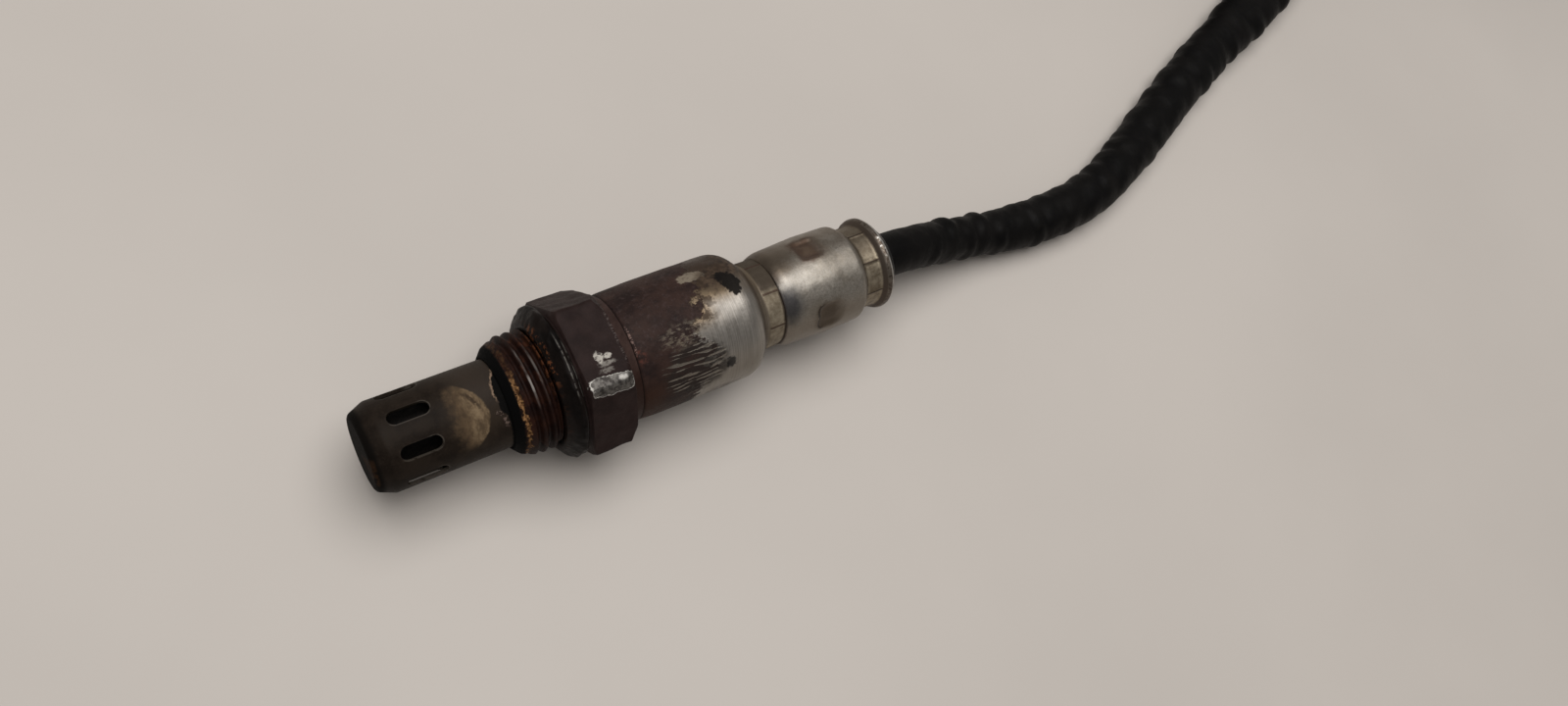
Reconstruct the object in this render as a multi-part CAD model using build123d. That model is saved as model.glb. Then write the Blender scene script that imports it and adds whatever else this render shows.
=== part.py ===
from build123d import *
import os
from math import acos, atan2, cos, degrees, pi, radians, sin, sqrt, tan

# Heated four-wire oxygen sensor with an M18 thread, lying on one flat of its hexagon.
# +X runs along the sensor from its hot tip to its lead, +Z is up, and the origin is on
# the axis in the gasket's sealing face. Angles about the axis go from +Y towards +Z.

# Thread, gasket and hexagon
THREAD_D = 18.0
THREAD_FRONT = 6.6  # from the sealing face to the front of the threaded nose
NOSE_CHAMFER = 3.0
NOSE_LIP_OUT_R = 6.95
NOSE_KNEE = (0.35, 0.58)  # shares of the nose's length and rise at which its slope changes
RELIEF_R = 8.35
RELIEF_LENGTH = 0.35
GASKET_OUT_R = 11.5
GASKET_IN_R = 8.4
GASKET_T = 2.9
GASKET_FACE_CLEARANCE = 0.1
GASKET_FRONT = ((0, 1.75), (0.85, 0.65), (1.7, 0))  # (x, drop below the rim) from the face to the rim
GASKET_REAR = ((0.55, 0), (0.15, 0.4), (0, 0.95))  # the same from the rim, x measured from its rear face
WASHER_FACE_R = 10.6
WASHER_FACE_T = 0.5
HEX_AF = 22.0
HEX_LENGTH = 6.9
HEX_TURNED_R = 12.6
HEX_FRONT_CHAMFER = 0.35
HEX_REAR_CHAMFER = (1.1, 1.1)  # along the axis and down the radius
COLLAR_R = 9.8
COLLAR_LENGTH = 1.7  # behind the hexagon, up to the casing
LAND_LENGTH = 6.5  # the turned land behind the collar, which the casing slides over
LAND_LIP = 1.0

# Bore of the housing shell
BORE_R = 4.4
SEAT_START = 1.0
SEAT_RISE = 1.9
TUBE_SEAT_R = 7.4
LIP_T = 1.0

# Protection tubes
TUBE_R = 6.64
TUBE_WALL = 0.5
TUBE_REACH = 25.8  # from the sealing face to the closed end
TUBE_END_R = 5.55
TUBE_END_CHAMFER = 2.5
TUBE_END_ROUNDS = (0.9, 1.2)
TUBE_END_INSET = 0.15  # of the corner inside the end, from the one outside
SLOT_COUNT = 8
SLOT_LENGTH = 5.8
SLOT_WIDTH = 2.1
SLOT_REACH = 19.06
SLOT_TURN = 32.9
INNER_TUBE_R = 4.25
INNER_TUBE_WALL = 0.4
INNER_TUBE_REACH = 22.6
INNER_TUBE_CHAMFER = 1.0
GAS_HOLE_COUNT = 6
GAS_HOLE_R = 0.75
GAS_HOLE_REACH = 9.6
FLANGE_CLEARANCE = 0.05

# Sensing element and heater
ELEMENT_TIP_R = 2.6
ELEMENT_NECK_R = 4.2
ELEMENT_TIP_REACH = 20.5
ELEMENT_BORE_R = 1.9
ELEMENT_TIP_WALL = 2.2
ELEMENT_TIP_CHAMFER = 1.3
ELEMENT_STEM_R = 3.2
ELEMENT_FLANGE_TAPER = 1.0
ELEMENT_FLANGE_LENGTH = 3.0
ELEMENT_TAIL_R = 4.4
ELEMENT_LENGTH = 45.5
HEATER_R = 1.4
HEATER_LENGTH = 50.5
HEATER_TIP_GAP = 0.4

# Packing behind the element's flange
POWDER_LENGTH = 6.2
CERAMIC_RING_LENGTH = 4.3
PACKING_RING_T = 1.2
RING_CLEARANCE = 0.05

# Front casing
CASING_R = 10.1
CASING_WALL = 0.5
WELD_BAND_DEPTH = 0.25
WELD_BAND_LENGTH = 1.9
CASING_SHOULDER = 32.3  # where the straight wall would meet the shoulder's slope
SHOULDER_LENGTH = 3.1
SHOULDER_R = 3.6
NECK_R = 7.08
NECK_LENGTH = 3.0
NECK_ROUND = 0.7
SHOULDER_WALL_TURN = 22.5  # degrees, half of the wall's turn at each end of the shoulder

# Rear sleeve
SLEEVE_WALL = 0.48
SKIRT_LENGTH = 3.8
BARREL_FRONT_R = 7.75
BARREL_FRONT_ROUND = (1.6, 0.3)
BARREL_R = 8.1
BARREL_LENGTH = 16.8
BARREL_WIDEST = 0.53  # share of the barrel's length
BARREL_REAR_DROP = 0.12
BARREL_REAR_SLOPE = 2.4
BARREL_REAR_ROUND = 1.9
CRIMP_R = 6.68
CRIMP_LENGTH = 1.8
CRIMP_WALL_SHIFT = 0.2
RIM_R = 7.72
RIM_LENGTH = 2.9
RIM_SLOPE = 1.2
RIM_WALL = 1.3
RIM_ROUND = 0.6
DIMPLE_COUNT = 4
DIMPLE_D = 5.0
DIMPLE_DEPTH = 0.55
DIMPLE_TURN = 60.8
DIMPLE_BOSS_SHARE = 0.76  # the flat inside each dimple, as a share of its diameter
DIMPLE_PLACE = 0.48  # share of the barrel's length
JAW_COUNT = 8
JAW_RIDGE_WIDTH = 0.4
JAW_RIDGE_HEIGHT = 0.16
JAW_RIDGE_ROOT = 0.2
NECK_JAW_TURN = 7.3
NECK_JAW_START = 0.35  # from the front of the neck
REAR_JAW_TURN = 16.0

# Contact holder, contacts, wires and grommet
HOLDER_LENGTH = 22.0
HOLDER_GAP = 1.5  # from the element's tail to the holder
HOLDER_CLEARANCE = 0.1
HOLDER_CUP_R = 4.25
HOLDER_CUP_DEPTH = 7.0
HOLDER_CHAMFER = 0.4
WIRE_COUNT = 4
WIRE_CIRCLE_R = 2.7
FIRST_WIRE_TURN = 45
WIRE_R = 0.85
WIRE_OVERLAP = 5.0  # length of each wire inside its terminal
TERMINAL_R = 1.1
TERMINAL_CLEARANCE = 0.04
TERMINAL_SET_FORWARD = 1.0  # of each terminal against its bore in the holder
BLADE_SIZE = (3.4, 0.5, 1.4)
BLADE_REACH = 2.5  # from the cup's floor to the middle of the blade
CONTACT_T = 0.3
CONTACT_GRIP = 4.5
CONTACT_SLIT = 2.0
CONTACT_ROOT = 1.0  # length of each tongue inside its clip
CONTACT_BENDS = (0.5, 0.1)  # after the element's end, and before the holder
CONTACT_BEND_STEP = 0.2  # between the outside and the inside of a bend
TONGUE_WIDTH = 1.6
TONGUE_GAP = 1.2  # from the end of each tongue to the cup's floor
INNER_CONTACT_GRIP = 11.7
INNER_CONTACT_PROUD = 0.6
INNER_CONTACT_SLIT = 0.5
INNER_TONGUE = (1.0, 0.25)  # width and thickness
SPRING_T = 0.3
SPRING_LENGTH = 6.2
SPRING_REACH = 5.89  # from its front to the middle of the dimples
SPRING_CROWN_CLEARANCE = 0.3
GROMMET_CLEARANCE = 0.04
GROMMET_CROWN = 0.8
GROMMET_EDGE = 0.6
GROMMET_LENGTH = 10.2

# Lead
LEAD_D = 8.4
BEND_SHARE = 0.45  # of the shorter run beside each corner, which its bend takes up
FLOOR_Z = -GASKET_OUT_R
LEAD_Z = FLOOR_Z + LEAD_D / 2

# Hank of put-away lead, its tie and the connector
HANK_X = 232.0
HANK_Y = 40.5
HANK_RUN = 14.0
HANK_PITCH = 8.8
HANK_FOLD_R = 25.5
HANK_EASE_R = 30.0
TIE_T = 1.0
TIE_WIDTH = 4.4
TIE_HEAD = (5.6, 5.0, 4.2)
TIE_HEAD_ROUND = 0.5
TIE_TAIL_INSET = 0.4  # on each side, against the band's width
TIE_TAIL_ROOT = 0.5  # length of the cut end inside the head
TIE_TAIL_LENGTH = 3.0
TIE_TAIL_HEIGHTS = (1.5, 2.6)  # its faces above the bottom of the head
CONNECTOR_X = 216.0
CONNECTOR_Y = 53.5
CONNECTOR_REAR = (16.0, 17.0, 13.0)
SHROUD = (22.0, 20.4, 16.0)
SHROUD_WALL = 1.6
SHROUD_DEPTH = 18.0
REAR_EDGE_R = 2.0
SHROUD_EDGE_R = 2.4
MOUTH_EDGE_R = 1.0
CAVITY_R = 1.3
RIB_PLACES = (3.0, 6.5, 10.0)  # from the shroud
RIB_T = 1.6
RIB_PROUD = 0.8
RIB_ROOT = 1.5
RIB_HEIGHT = 8.0
RAMP_START = 5.0  # from the mouth
RAMP_LENGTH = 5.0
RAMP_HEIGHTS = (0.3, 1.8)  # above the shroud, at its two ends
RAMP_ROOT = 0.2
RAMP_WIDTH = 6.0
PIN_PITCH_Y = 5.0
PIN_PITCH_Z = 4.4
PIN_SIZE = (1.5, 0.64)
PIN_REACH = 7.0  # beyond the mouth's floor
PIN_ROOT = 6.0
PIN_CLEARANCE = 0.05
PIN_BARREL_START = 3.5
PIN_BARREL_R = 1.26
SEAL_LENGTH = 4.0
SEAL_MARGIN = 1.6
SEAL_PROUD = 0.6
SEAL_GAP = 0.04
LOCK_T = 3.0
LOCK_CLEARANCE = 0.3
LOCK_EDGE_R = 0.8
TAIL_SPREAD = 1.15  # of each wire from the lead's centre line, along Y and Z
TAIL_STRAIGHTS = (4.5, 3.5)  # at the lead and at the connector
TAIL_BEND_R = 4.0

QUARTERS = ((1, 1), (-1, 1), (-1, -1), (1, -1))  # the signs of y and z for each wire
CUT_MARGIN = 1.0  # how far a cutting shape reaches past what it cuts

# Places along the axis that follow from the sizes above
HEX_X = GASKET_T + WASHER_FACE_T
HEX_END = HEX_X + HEX_LENGTH
LAND_X = HEX_END + COLLAR_LENGTH
SHELL_END = LAND_X + LAND_LENGTH
SEAT_END = SEAT_START + SEAT_RISE
POWDER_R = BORE_R + SEAT_RISE
FLANGE_END = SEAT_END - RING_CLEARANCE * 2 + ELEMENT_FLANGE_LENGTH
POWDER_END = FLANGE_END + POWDER_LENGTH
CERAMIC_END = POWDER_END + CERAMIC_RING_LENGTH
LIP_X = CERAMIC_END + PACKING_RING_T
ELEMENT_END = ELEMENT_LENGTH - ELEMENT_TIP_REACH
CASING_X = LAND_X + RING_CLEARANCE
LAND_R = CASING_R - WELD_BAND_DEPTH - CASING_WALL
NECK_X = CASING_SHOULDER + SHOULDER_LENGTH
NECK_END = NECK_X + NECK_LENGTH
SKIRT_R = NECK_R - CASING_WALL
BARREL_END = NECK_END + BARREL_LENGTH
CRIMP_END = BARREL_END + CRIMP_LENGTH
RIM_END = CRIMP_END + RIM_LENGTH
GROMMET_END = RIM_END + GROMMET_CROWN
GROMMET_X = GROMMET_END - GROMMET_LENGTH
HOLDER_X = ELEMENT_END + HOLDER_GAP
HOLDER_END = HOLDER_X + HOLDER_LENGTH
HOLDER_R = SKIRT_R - SLEEVE_WALL - HOLDER_CLEARANCE
HOLDER_CUP_END = HOLDER_X + HOLDER_CUP_DEPTH
TERMINAL_END = HOLDER_END - TERMINAL_SET_FORWARD
WIRE_START = TERMINAL_END - WIRE_OVERLAP
TONGUE_END = HOLDER_CUP_END - TONGUE_GAP
DIMPLE_X = NECK_END + BARREL_LENGTH * DIMPLE_PLACE
MOUTH_R = RIM_R - RIM_WALL
BARREL_REAR_R = BARREL_R - BARREL_REAR_DROP
HANK_Z = LEAD_Z + TIE_T + RING_CLEARANCE

# The lead's route from the grommet to the hank, chosen point by point
LEAD_ROUTE = [
    (GROMMET_END, 0.0, 0.0),
    (72.5, 0.0, 0.0),
    (86.0, -0.4, -3.1),
    (100.0, -2.6, -6.2),
    (118.0, -1.7, LEAD_Z),
    (136.0, 6.0, LEAD_Z),
    (158.0, 15.7, LEAD_Z),
    (180.0, 23.6, LEAD_Z),
    (212.0, HANK_Y - HANK_PITCH / 2, HANK_Z),
    (HANK_X, HANK_Y - HANK_PITCH / 2, HANK_Z),
]


def turned(outer, inner=(), radii=None):
    """A ring turned about the X axis from its outline's (x, radius) points, front to rear and back inside."""
    closing = inner[::-1]
    if radii is None:
        profile = Polyline(*outer, *closing, close=True)
    else:
        profile = FilletPolyline(*outer, radius=radii) + Polyline(outer[-1], *closing, outer[0])
    return revolve(make_face(profile), Axis.X)


def tube_along(centre_line, radius):
    start = Plane(origin=centre_line @ 0, z_dir=centre_line % 0)
    return sweep(start * Circle(radius), path=centre_line)


def rod(x0, x1, radius, y=0.0, z=0.0):
    return Plane.YZ.offset(x0) * Pos(y, z) * extrude(Circle(radius), x1 - x0)


def box_between(x0, x1, y0, y1, z0, z1):
    return Pos((x0 + x1) / 2, (y0 + y1) / 2, (z0 + z1) / 2) * Box(x1 - x0, y1 - y0, z1 - z0)


def around(shape, count, first_turn):
    """Copies of a shape that stands towards +Y, spaced evenly about the X axis."""
    return [Rot(X=first_turn + 360 * i / count) * shape for i in range(count)]


def on_circle(radius, turn):
    return radius * cos(radians(turn)), radius * sin(radians(turn))


def wire_places():
    return [on_circle(WIRE_CIRCLE_R, FIRST_WIRE_TURN + 360 * i / WIRE_COUNT) for i in range(WIRE_COUNT)]


def housing_shell():
    thread_r = THREAD_D / 2
    nose = -THREAD_FRONT
    lip_bore_r = TUBE_R + FLANGE_CLEARANCE
    flange_seat = nose + LIP_T + 2 * TUBE_WALL
    outer = [
        (nose, lip_bore_r),
        (nose, NOSE_LIP_OUT_R),
        (nose + NOSE_KNEE[0] * NOSE_CHAMFER, NOSE_LIP_OUT_R + NOSE_KNEE[1] * (thread_r - NOSE_LIP_OUT_R)),
        (nose + NOSE_CHAMFER, thread_r),
        (-RELIEF_LENGTH, thread_r),
        (0, RELIEF_R),
        (GASKET_T, RELIEF_R),
        (GASKET_T, WASHER_FACE_R),
        (HEX_END, WASHER_FACE_R),
        (HEX_END, COLLAR_R),
        (LAND_X, COLLAR_R),
        (LAND_X, LAND_R),
        (SHELL_END - 2 * LAND_LIP, LAND_R),
        (SHELL_END, POWDER_R + LAND_LIP),
    ]
    inner = [
        (nose + LIP_T, lip_bore_r),
        (nose + LIP_T, TUBE_SEAT_R),
        (flange_seat, TUBE_SEAT_R),
        (flange_seat, BORE_R),
        (SEAT_START, BORE_R),
        (SEAT_END, POWDER_R),
        (LIP_X, POWDER_R),
        (LIP_X, POWDER_R - LAND_LIP),
        (SHELL_END, POWDER_R - LAND_LIP),
    ]
    body = turned(outer, inner)
    hexagon = Plane.YZ.offset(HEX_X) * extrude(
        RegularPolygon(HEX_AF / 2, 6, major_radius=False), HEX_LENGTH
    )
    chamfer_x, chamfer_drop = HEX_REAR_CHAMFER
    turned_envelope = turned(
        [
            (HEX_X, HEX_TURNED_R - HEX_FRONT_CHAMFER),
            (HEX_X + HEX_FRONT_CHAMFER, HEX_TURNED_R),
            (HEX_END - chamfer_x, HEX_TURNED_R),
            (HEX_END, HEX_TURNED_R - chamfer_drop),
        ],
        [(HEX_X, POWDER_R + LAND_LIP), (HEX_END, POWDER_R + LAND_LIP)],
    )
    return body + (hexagon & turned_envelope)


def gasket():
    """A ring folded round from sheet, whose sealing face begins just outside the thread."""
    face_r = THREAD_D / 2 + GASKET_FACE_CLEARANCE
    bevel = face_r - GASKET_IN_R
    front = [(x, GASKET_OUT_R - drop) for x, drop in GASKET_FRONT]
    rear = [(GASKET_T - x, GASKET_OUT_R - drop) for x, drop in GASKET_REAR]
    inside = [(GASKET_T, face_r), (GASKET_T - bevel, GASKET_IN_R), (bevel, GASKET_IN_R)]
    return turned([(0, face_r), *front, *rear, *inside])


def outer_protection_tube():
    flange_x = -THREAD_FRONT + LIP_T
    flange_r = TUBE_SEAT_R - FLANGE_CLEARANCE
    bevel_x = -TUBE_REACH + TUBE_END_CHAMFER
    body = turned(
        [
            (-TUBE_REACH, 0),
            (-TUBE_REACH, TUBE_END_R),
            (bevel_x, TUBE_R),
            (flange_x, TUBE_R),
            (flange_x, flange_r),
            (flange_x + TUBE_WALL, flange_r),
        ],
        [
            (-TUBE_REACH + TUBE_WALL, 0),
            (-TUBE_REACH + TUBE_WALL, TUBE_END_R - TUBE_END_INSET),
            (bevel_x, TUBE_R - TUBE_WALL),
            (flange_x + TUBE_WALL, TUBE_R - TUBE_WALL),
        ],
        [*TUBE_END_ROUNDS, 0, 0],
    )
    slot = Plane.XZ * Pos(-SLOT_REACH, 0) * extrude(
        SlotOverall(SLOT_LENGTH, SLOT_WIDTH), -(TUBE_R + CUT_MARGIN)
    )
    return body - around(slot, SLOT_COUNT, SLOT_TURN)


def inner_protection_tube():
    flange_x = -THREAD_FRONT + LIP_T + TUBE_WALL
    flange_r = TUBE_SEAT_R - FLANGE_CLEARANCE
    body = turned(
        [
            (-INNER_TUBE_REACH, 0),
            (-INNER_TUBE_REACH, INNER_TUBE_R - INNER_TUBE_CHAMFER),
            (-INNER_TUBE_REACH + INNER_TUBE_CHAMFER, INNER_TUBE_R),
            (flange_x, INNER_TUBE_R),
            (flange_x, flange_r),
            (flange_x + TUBE_WALL, flange_r),
        ],
        [
            (-INNER_TUBE_REACH + INNER_TUBE_WALL, 0),
            (-INNER_TUBE_REACH + INNER_TUBE_WALL, INNER_TUBE_R - INNER_TUBE_CHAMFER - INNER_TUBE_WALL / 2),
            (-INNER_TUBE_REACH + INNER_TUBE_CHAMFER + INNER_TUBE_WALL / 2, INNER_TUBE_R - INNER_TUBE_WALL),
            (flange_x + TUBE_WALL, INNER_TUBE_R - INNER_TUBE_WALL),
        ],
    )
    hole = Plane.XZ * Pos(-GAS_HOLE_REACH, 0) * extrude(Circle(GAS_HOLE_R), -(INNER_TUBE_R + CUT_MARGIN))
    return body - around(hole, GAS_HOLE_COUNT, 0)


def sensing_element():
    cone_x = SEAT_START - (BORE_R - ELEMENT_NECK_R)
    flange_r = POWDER_R - 2 * RING_CLEARANCE
    flange_x = SEAT_END - 2 * RING_CLEARANCE
    body = turned(
        [
            (-ELEMENT_TIP_REACH, 0),
            (-ELEMENT_TIP_REACH, ELEMENT_TIP_R - ELEMENT_TIP_CHAMFER),
            (-ELEMENT_TIP_REACH + ELEMENT_TIP_CHAMFER, ELEMENT_TIP_R),
            (-THREAD_FRONT, ELEMENT_STEM_R),
            (cone_x, ELEMENT_NECK_R),
            (flange_x, flange_r),
            (FLANGE_END, flange_r),
            (FLANGE_END + ELEMENT_FLANGE_TAPER, ELEMENT_TAIL_R),
            (ELEMENT_END, ELEMENT_TAIL_R),
            (ELEMENT_END, 0),
        ]
    )
    return body - rod(-ELEMENT_TIP_REACH + ELEMENT_TIP_WALL, ELEMENT_END, ELEMENT_BORE_R)


def heater_rod():
    front = -ELEMENT_TIP_REACH + ELEMENT_TIP_WALL + HEATER_TIP_GAP
    return rod(front, front + HEATER_LENGTH, HEATER_R)


def powder_ring():
    return turned(
        [(FLANGE_END, POWDER_R - 2 * RING_CLEARANCE), (FLANGE_END, POWDER_R), (POWDER_END, POWDER_R)],
        [(FLANGE_END + ELEMENT_FLANGE_TAPER, ELEMENT_TAIL_R), (POWDER_END, ELEMENT_TAIL_R)],
    )


def ring(x0, x1, in_r, out_r):
    return rod(x0, x1, out_r) - rod(x0, x1, in_r)


def ceramic_ring():
    return ring(POWDER_END, CERAMIC_END, ELEMENT_TAIL_R + RING_CLEARANCE, POWDER_R - RING_CLEARANCE)


def packing_ring():
    return ring(CERAMIC_END, LIP_X, ELEMENT_TAIL_R + 3 * RING_CLEARANCE, POWDER_R - RING_CLEARANCE)


def front_casing():
    band_r = CASING_R - WELD_BAND_DEPTH
    band_end = CASING_X + WELD_BAND_LENGTH
    outer = [
        (CASING_X, band_r),
        (band_end, band_r),
        (band_end + WELD_BAND_DEPTH, CASING_R),
        (CASING_SHOULDER, CASING_R),
        (NECK_X, NECK_R),
        (NECK_END, NECK_R),
    ]
    wall_shift = CASING_WALL * tan(radians(SHOULDER_WALL_TURN))
    inner = [
        (CASING_X, band_r - CASING_WALL),
        (band_end, band_r - CASING_WALL),
        (band_end + WELD_BAND_DEPTH, CASING_R - CASING_WALL),
        (CASING_SHOULDER - wall_shift, CASING_R - CASING_WALL),
        (NECK_X - wall_shift, SKIRT_R),
        (NECK_END, SKIRT_R),
    ]
    shell = turned(outer, inner, [0, 0, SHOULDER_R, NECK_ROUND])
    return shell + jaw_ridges(NECK_X + NECK_JAW_START, NECK_END, NECK_R, NECK_JAW_TURN)


def jaw_ridges(x0, x1, radius, first_turn):
    """The raised lines that the crimping jaws leave between them."""
    half = JAW_RIDGE_WIDTH / 2
    ridge = box_between(x0, x1, radius - JAW_RIDGE_ROOT, radius + JAW_RIDGE_HEIGHT, -half, half)
    return around(ridge, JAW_COUNT, first_turn)


def rear_sleeve():
    """A thin drawn sleeve: skirt, dimpled barrel, crimp groove and rolled rim."""
    wall = SLEEVE_WALL
    skirt_x = NECK_END - SKIRT_LENGTH
    round_x, round_r = BARREL_FRONT_ROUND
    front_x = NECK_END + round_x
    widest_x = NECK_END + BARREL_WIDEST * BARREL_LENGTH
    rear_x = BARREL_END - BARREL_REAR_SLOPE
    rim_x = CRIMP_END + RIM_SLOPE
    outer = [
        (skirt_x, 0),
        (skirt_x, SKIRT_R),
        (NECK_END, SKIRT_R),
        (NECK_END, BARREL_FRONT_R - round_r),
        (front_x, BARREL_FRONT_R),
        (widest_x, BARREL_R),
        (rear_x, BARREL_REAR_R),
        (BARREL_END, CRIMP_R),
        (CRIMP_END, CRIMP_R),
        (rim_x, RIM_R),
        (RIM_END, RIM_R),
        (RIM_END, 0),
    ]
    rounds = [0, 0, 0, 0, 0, BARREL_REAR_ROUND, 0, 0, 0, RIM_ROUND]
    bore = [
        (skirt_x, 0),
        (skirt_x, SKIRT_R - wall),
        (NECK_END + wall, SKIRT_R - wall),
        (NECK_END + wall, BARREL_FRONT_R - round_r - wall),
        (front_x, BARREL_FRONT_R - wall),
        (widest_x, BARREL_R - wall),
        (rear_x, BARREL_REAR_R - wall),
        (BARREL_END - CRIMP_WALL_SHIFT, CRIMP_R - wall),
        (CRIMP_END + CRIMP_WALL_SHIFT, CRIMP_R - wall),
        (rim_x, MOUTH_R),
        (RIM_END, MOUTH_R),
        (RIM_END, 0),
    ]
    dimple_r = (DIMPLE_D**2 / 4 + DIMPLE_DEPTH**2) / (2 * DIMPLE_DEPTH)
    floor_r = BARREL_R - DIMPLE_DEPTH
    dent = Pos(DIMPLE_X, floor_r + dimple_r, 0) * Sphere(dimple_r)
    boss_r = DIMPLE_BOSS_SHARE * DIMPLE_D / 2
    boss = Pos(DIMPLE_X, floor_r - wall, 0) * Rot(X=-90) * extrude(Circle(boss_r), CUT_MARGIN)
    cavity = turned(bore) - around(boss, DIMPLE_COUNT, DIMPLE_TURN)
    body = turned(outer, [], rounds) - cavity - around(dent, DIMPLE_COUNT, DIMPLE_TURN)
    return body + jaw_ridges(BARREL_END, CRIMP_END, CRIMP_R, REAR_JAW_TURN)


def contact_holder():
    body = rod(HOLDER_X, HOLDER_END, HOLDER_R)
    body = chamfer(body.edges().filter_by(GeomType.CIRCLE), HOLDER_CHAMFER)
    body -= rod(HOLDER_X, HOLDER_CUP_END, HOLDER_CUP_R)
    for y, z in wire_places():
        body -= rod(HOLDER_CUP_END, HOLDER_END, TERMINAL_R + TERMINAL_CLEARANCE, y, z)
    return body


def terminals():
    """Four machined pins that the wires are crimped into."""
    made = []
    for y, z in wire_places():
        pin = rod(HOLDER_CUP_END - TERMINAL_SET_FORWARD, TERMINAL_END, TERMINAL_R, y, z)
        blade = Pos(HOLDER_CUP_END - BLADE_REACH, y, z) * Rot(X=degrees(atan2(z, y))) * Box(*BLADE_SIZE)
        made.append(pin + blade - rod(WIRE_START, HOLDER_END, WIRE_R, y, z))
    return Compound(made)


def outer_contact():
    grip_x = ELEMENT_END - CONTACT_GRIP
    clip = ring(grip_x, ELEMENT_END, ELEMENT_TAIL_R, ELEMENT_TAIL_R + CONTACT_T)
    slit_reach = -ELEMENT_TAIL_R - CUT_MARGIN
    slit = box_between(grip_x, ELEMENT_END, -CONTACT_SLIT / 2, CONTACT_SLIT / 2, slit_reach, 0)
    tongue_r = WIRE_CIRCLE_R + BLADE_SIZE[2] / 2 + RING_CLEARANCE
    root_x = ELEMENT_END - CONTACT_ROOT
    first_bend = ELEMENT_END + CONTACT_BENDS[0]
    second_bend = HOLDER_X - CONTACT_BENDS[1]
    profile = Polyline(
        (root_x, ELEMENT_TAIL_R),
        (root_x, ELEMENT_TAIL_R + CONTACT_T),
        (first_bend, ELEMENT_TAIL_R + CONTACT_T),
        (second_bend, tongue_r + CONTACT_T),
        (TONGUE_END, tongue_r + CONTACT_T),
        (TONGUE_END, tongue_r),
        (second_bend - CONTACT_BEND_STEP, tongue_r),
        (first_bend - CONTACT_BEND_STEP, ELEMENT_TAIL_R),
        close=True,
    )
    tongue = extrude(make_face(profile), TONGUE_WIDTH / 2, both=True)
    return (clip - slit) + Rot(X=FIRST_WIRE_TURN) * tongue


def inner_contact():
    grip_x = ELEMENT_END - INNER_CONTACT_GRIP
    clip_end = ELEMENT_END + INNER_CONTACT_PROUD
    in_r = HEATER_R + RING_CLEARANCE
    clip = ring(grip_x, clip_end, in_r, ELEMENT_BORE_R - RING_CLEARANCE)
    slit = box_between(grip_x, clip_end, -INNER_CONTACT_SLIT / 2, INNER_CONTACT_SLIT / 2, 0, ELEMENT_BORE_R)
    width, thickness = INNER_TONGUE
    root_x = ELEMENT_END - CONTACT_ROOT
    tongue = box_between(root_x, TONGUE_END, in_r, in_r + thickness, -width / 2, width / 2)
    return (clip - slit) + Rot(X=FIRST_WIRE_TURN + 180) * tongue


def spring_sleeve():
    front = DIMPLE_X - SPRING_REACH
    crown_r = BARREL_R - SLEEVE_WALL - SPRING_CROWN_CLEARANCE
    in_r = HOLDER_R + RING_CLEARANCE
    middle = front + SPRING_LENGTH / 2
    return turned(
        [(front, in_r + SPRING_T), (middle, crown_r), (front + SPRING_LENGTH, in_r + SPRING_T)],
        [(front, in_r), (middle, crown_r - SPRING_T), (front + SPRING_LENGTH, in_r)],
    )


def grommet():
    """The rubber plug that the crimp squeezes, with a bore for each wire."""
    gap = GROMMET_CLEARANCE
    crimp_r = CRIMP_R - SLEEVE_WALL - gap
    mouth_r = MOUTH_R - gap
    slope_x = BARREL_END - BARREL_REAR_SLOPE - CRIMP_WALL_SHIFT
    body = turned(
        [
            (GROMMET_X, 0),
            (GROMMET_X, BARREL_REAR_R - SLEEVE_WALL - gap),
            (slope_x, BARREL_REAR_R - SLEEVE_WALL - gap),
            (BARREL_END - CRIMP_WALL_SHIFT, crimp_r),
            (CRIMP_END + CRIMP_WALL_SHIFT, crimp_r),
            (CRIMP_END + RIM_SLOPE, mouth_r),
            (GROMMET_END - GROMMET_EDGE, mouth_r),
            (GROMMET_END, mouth_r - GROMMET_EDGE),
            (GROMMET_END, 0),
        ]
    )
    for y, z in wire_places():
        body -= rod(GROMMET_X, GROMMET_END, WIRE_R, y, z)
    return body


def sensor_wires(places):
    return Compound([rod(WIRE_START, GROMMET_END, WIRE_R, y, z) for y, z in places])


def lead_radii():
    """Each corner's radius, from its two runs and its turn."""
    route = [Vector(*p) for p in LEAD_ROUTE]
    runs = [b - a for a, b in zip(route, route[1:])]
    radii = []
    for a, b in zip(runs, runs[1:]):
        half_turn = radians(a.get_angle(b)) / 2
        radii.append(BEND_SHARE * min(a.length, b.length) / tan(half_turn))
    return radii


def lead_sleeve():
    radii = lead_radii()
    print("lead radii", [round(r, 1) for r in radii])
    centre_line = FilletPolyline(*LEAD_ROUTE, radius=radii)
    lead = tube_along(centre_line.wire(), LEAD_D / 2)
    share = lead.volume / (centre_line.length * pi * LEAD_D**2 / 4)
    print("lead length", round(centre_line.length, 1), "volume over section x length", round(share, 5))
    return lead


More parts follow.
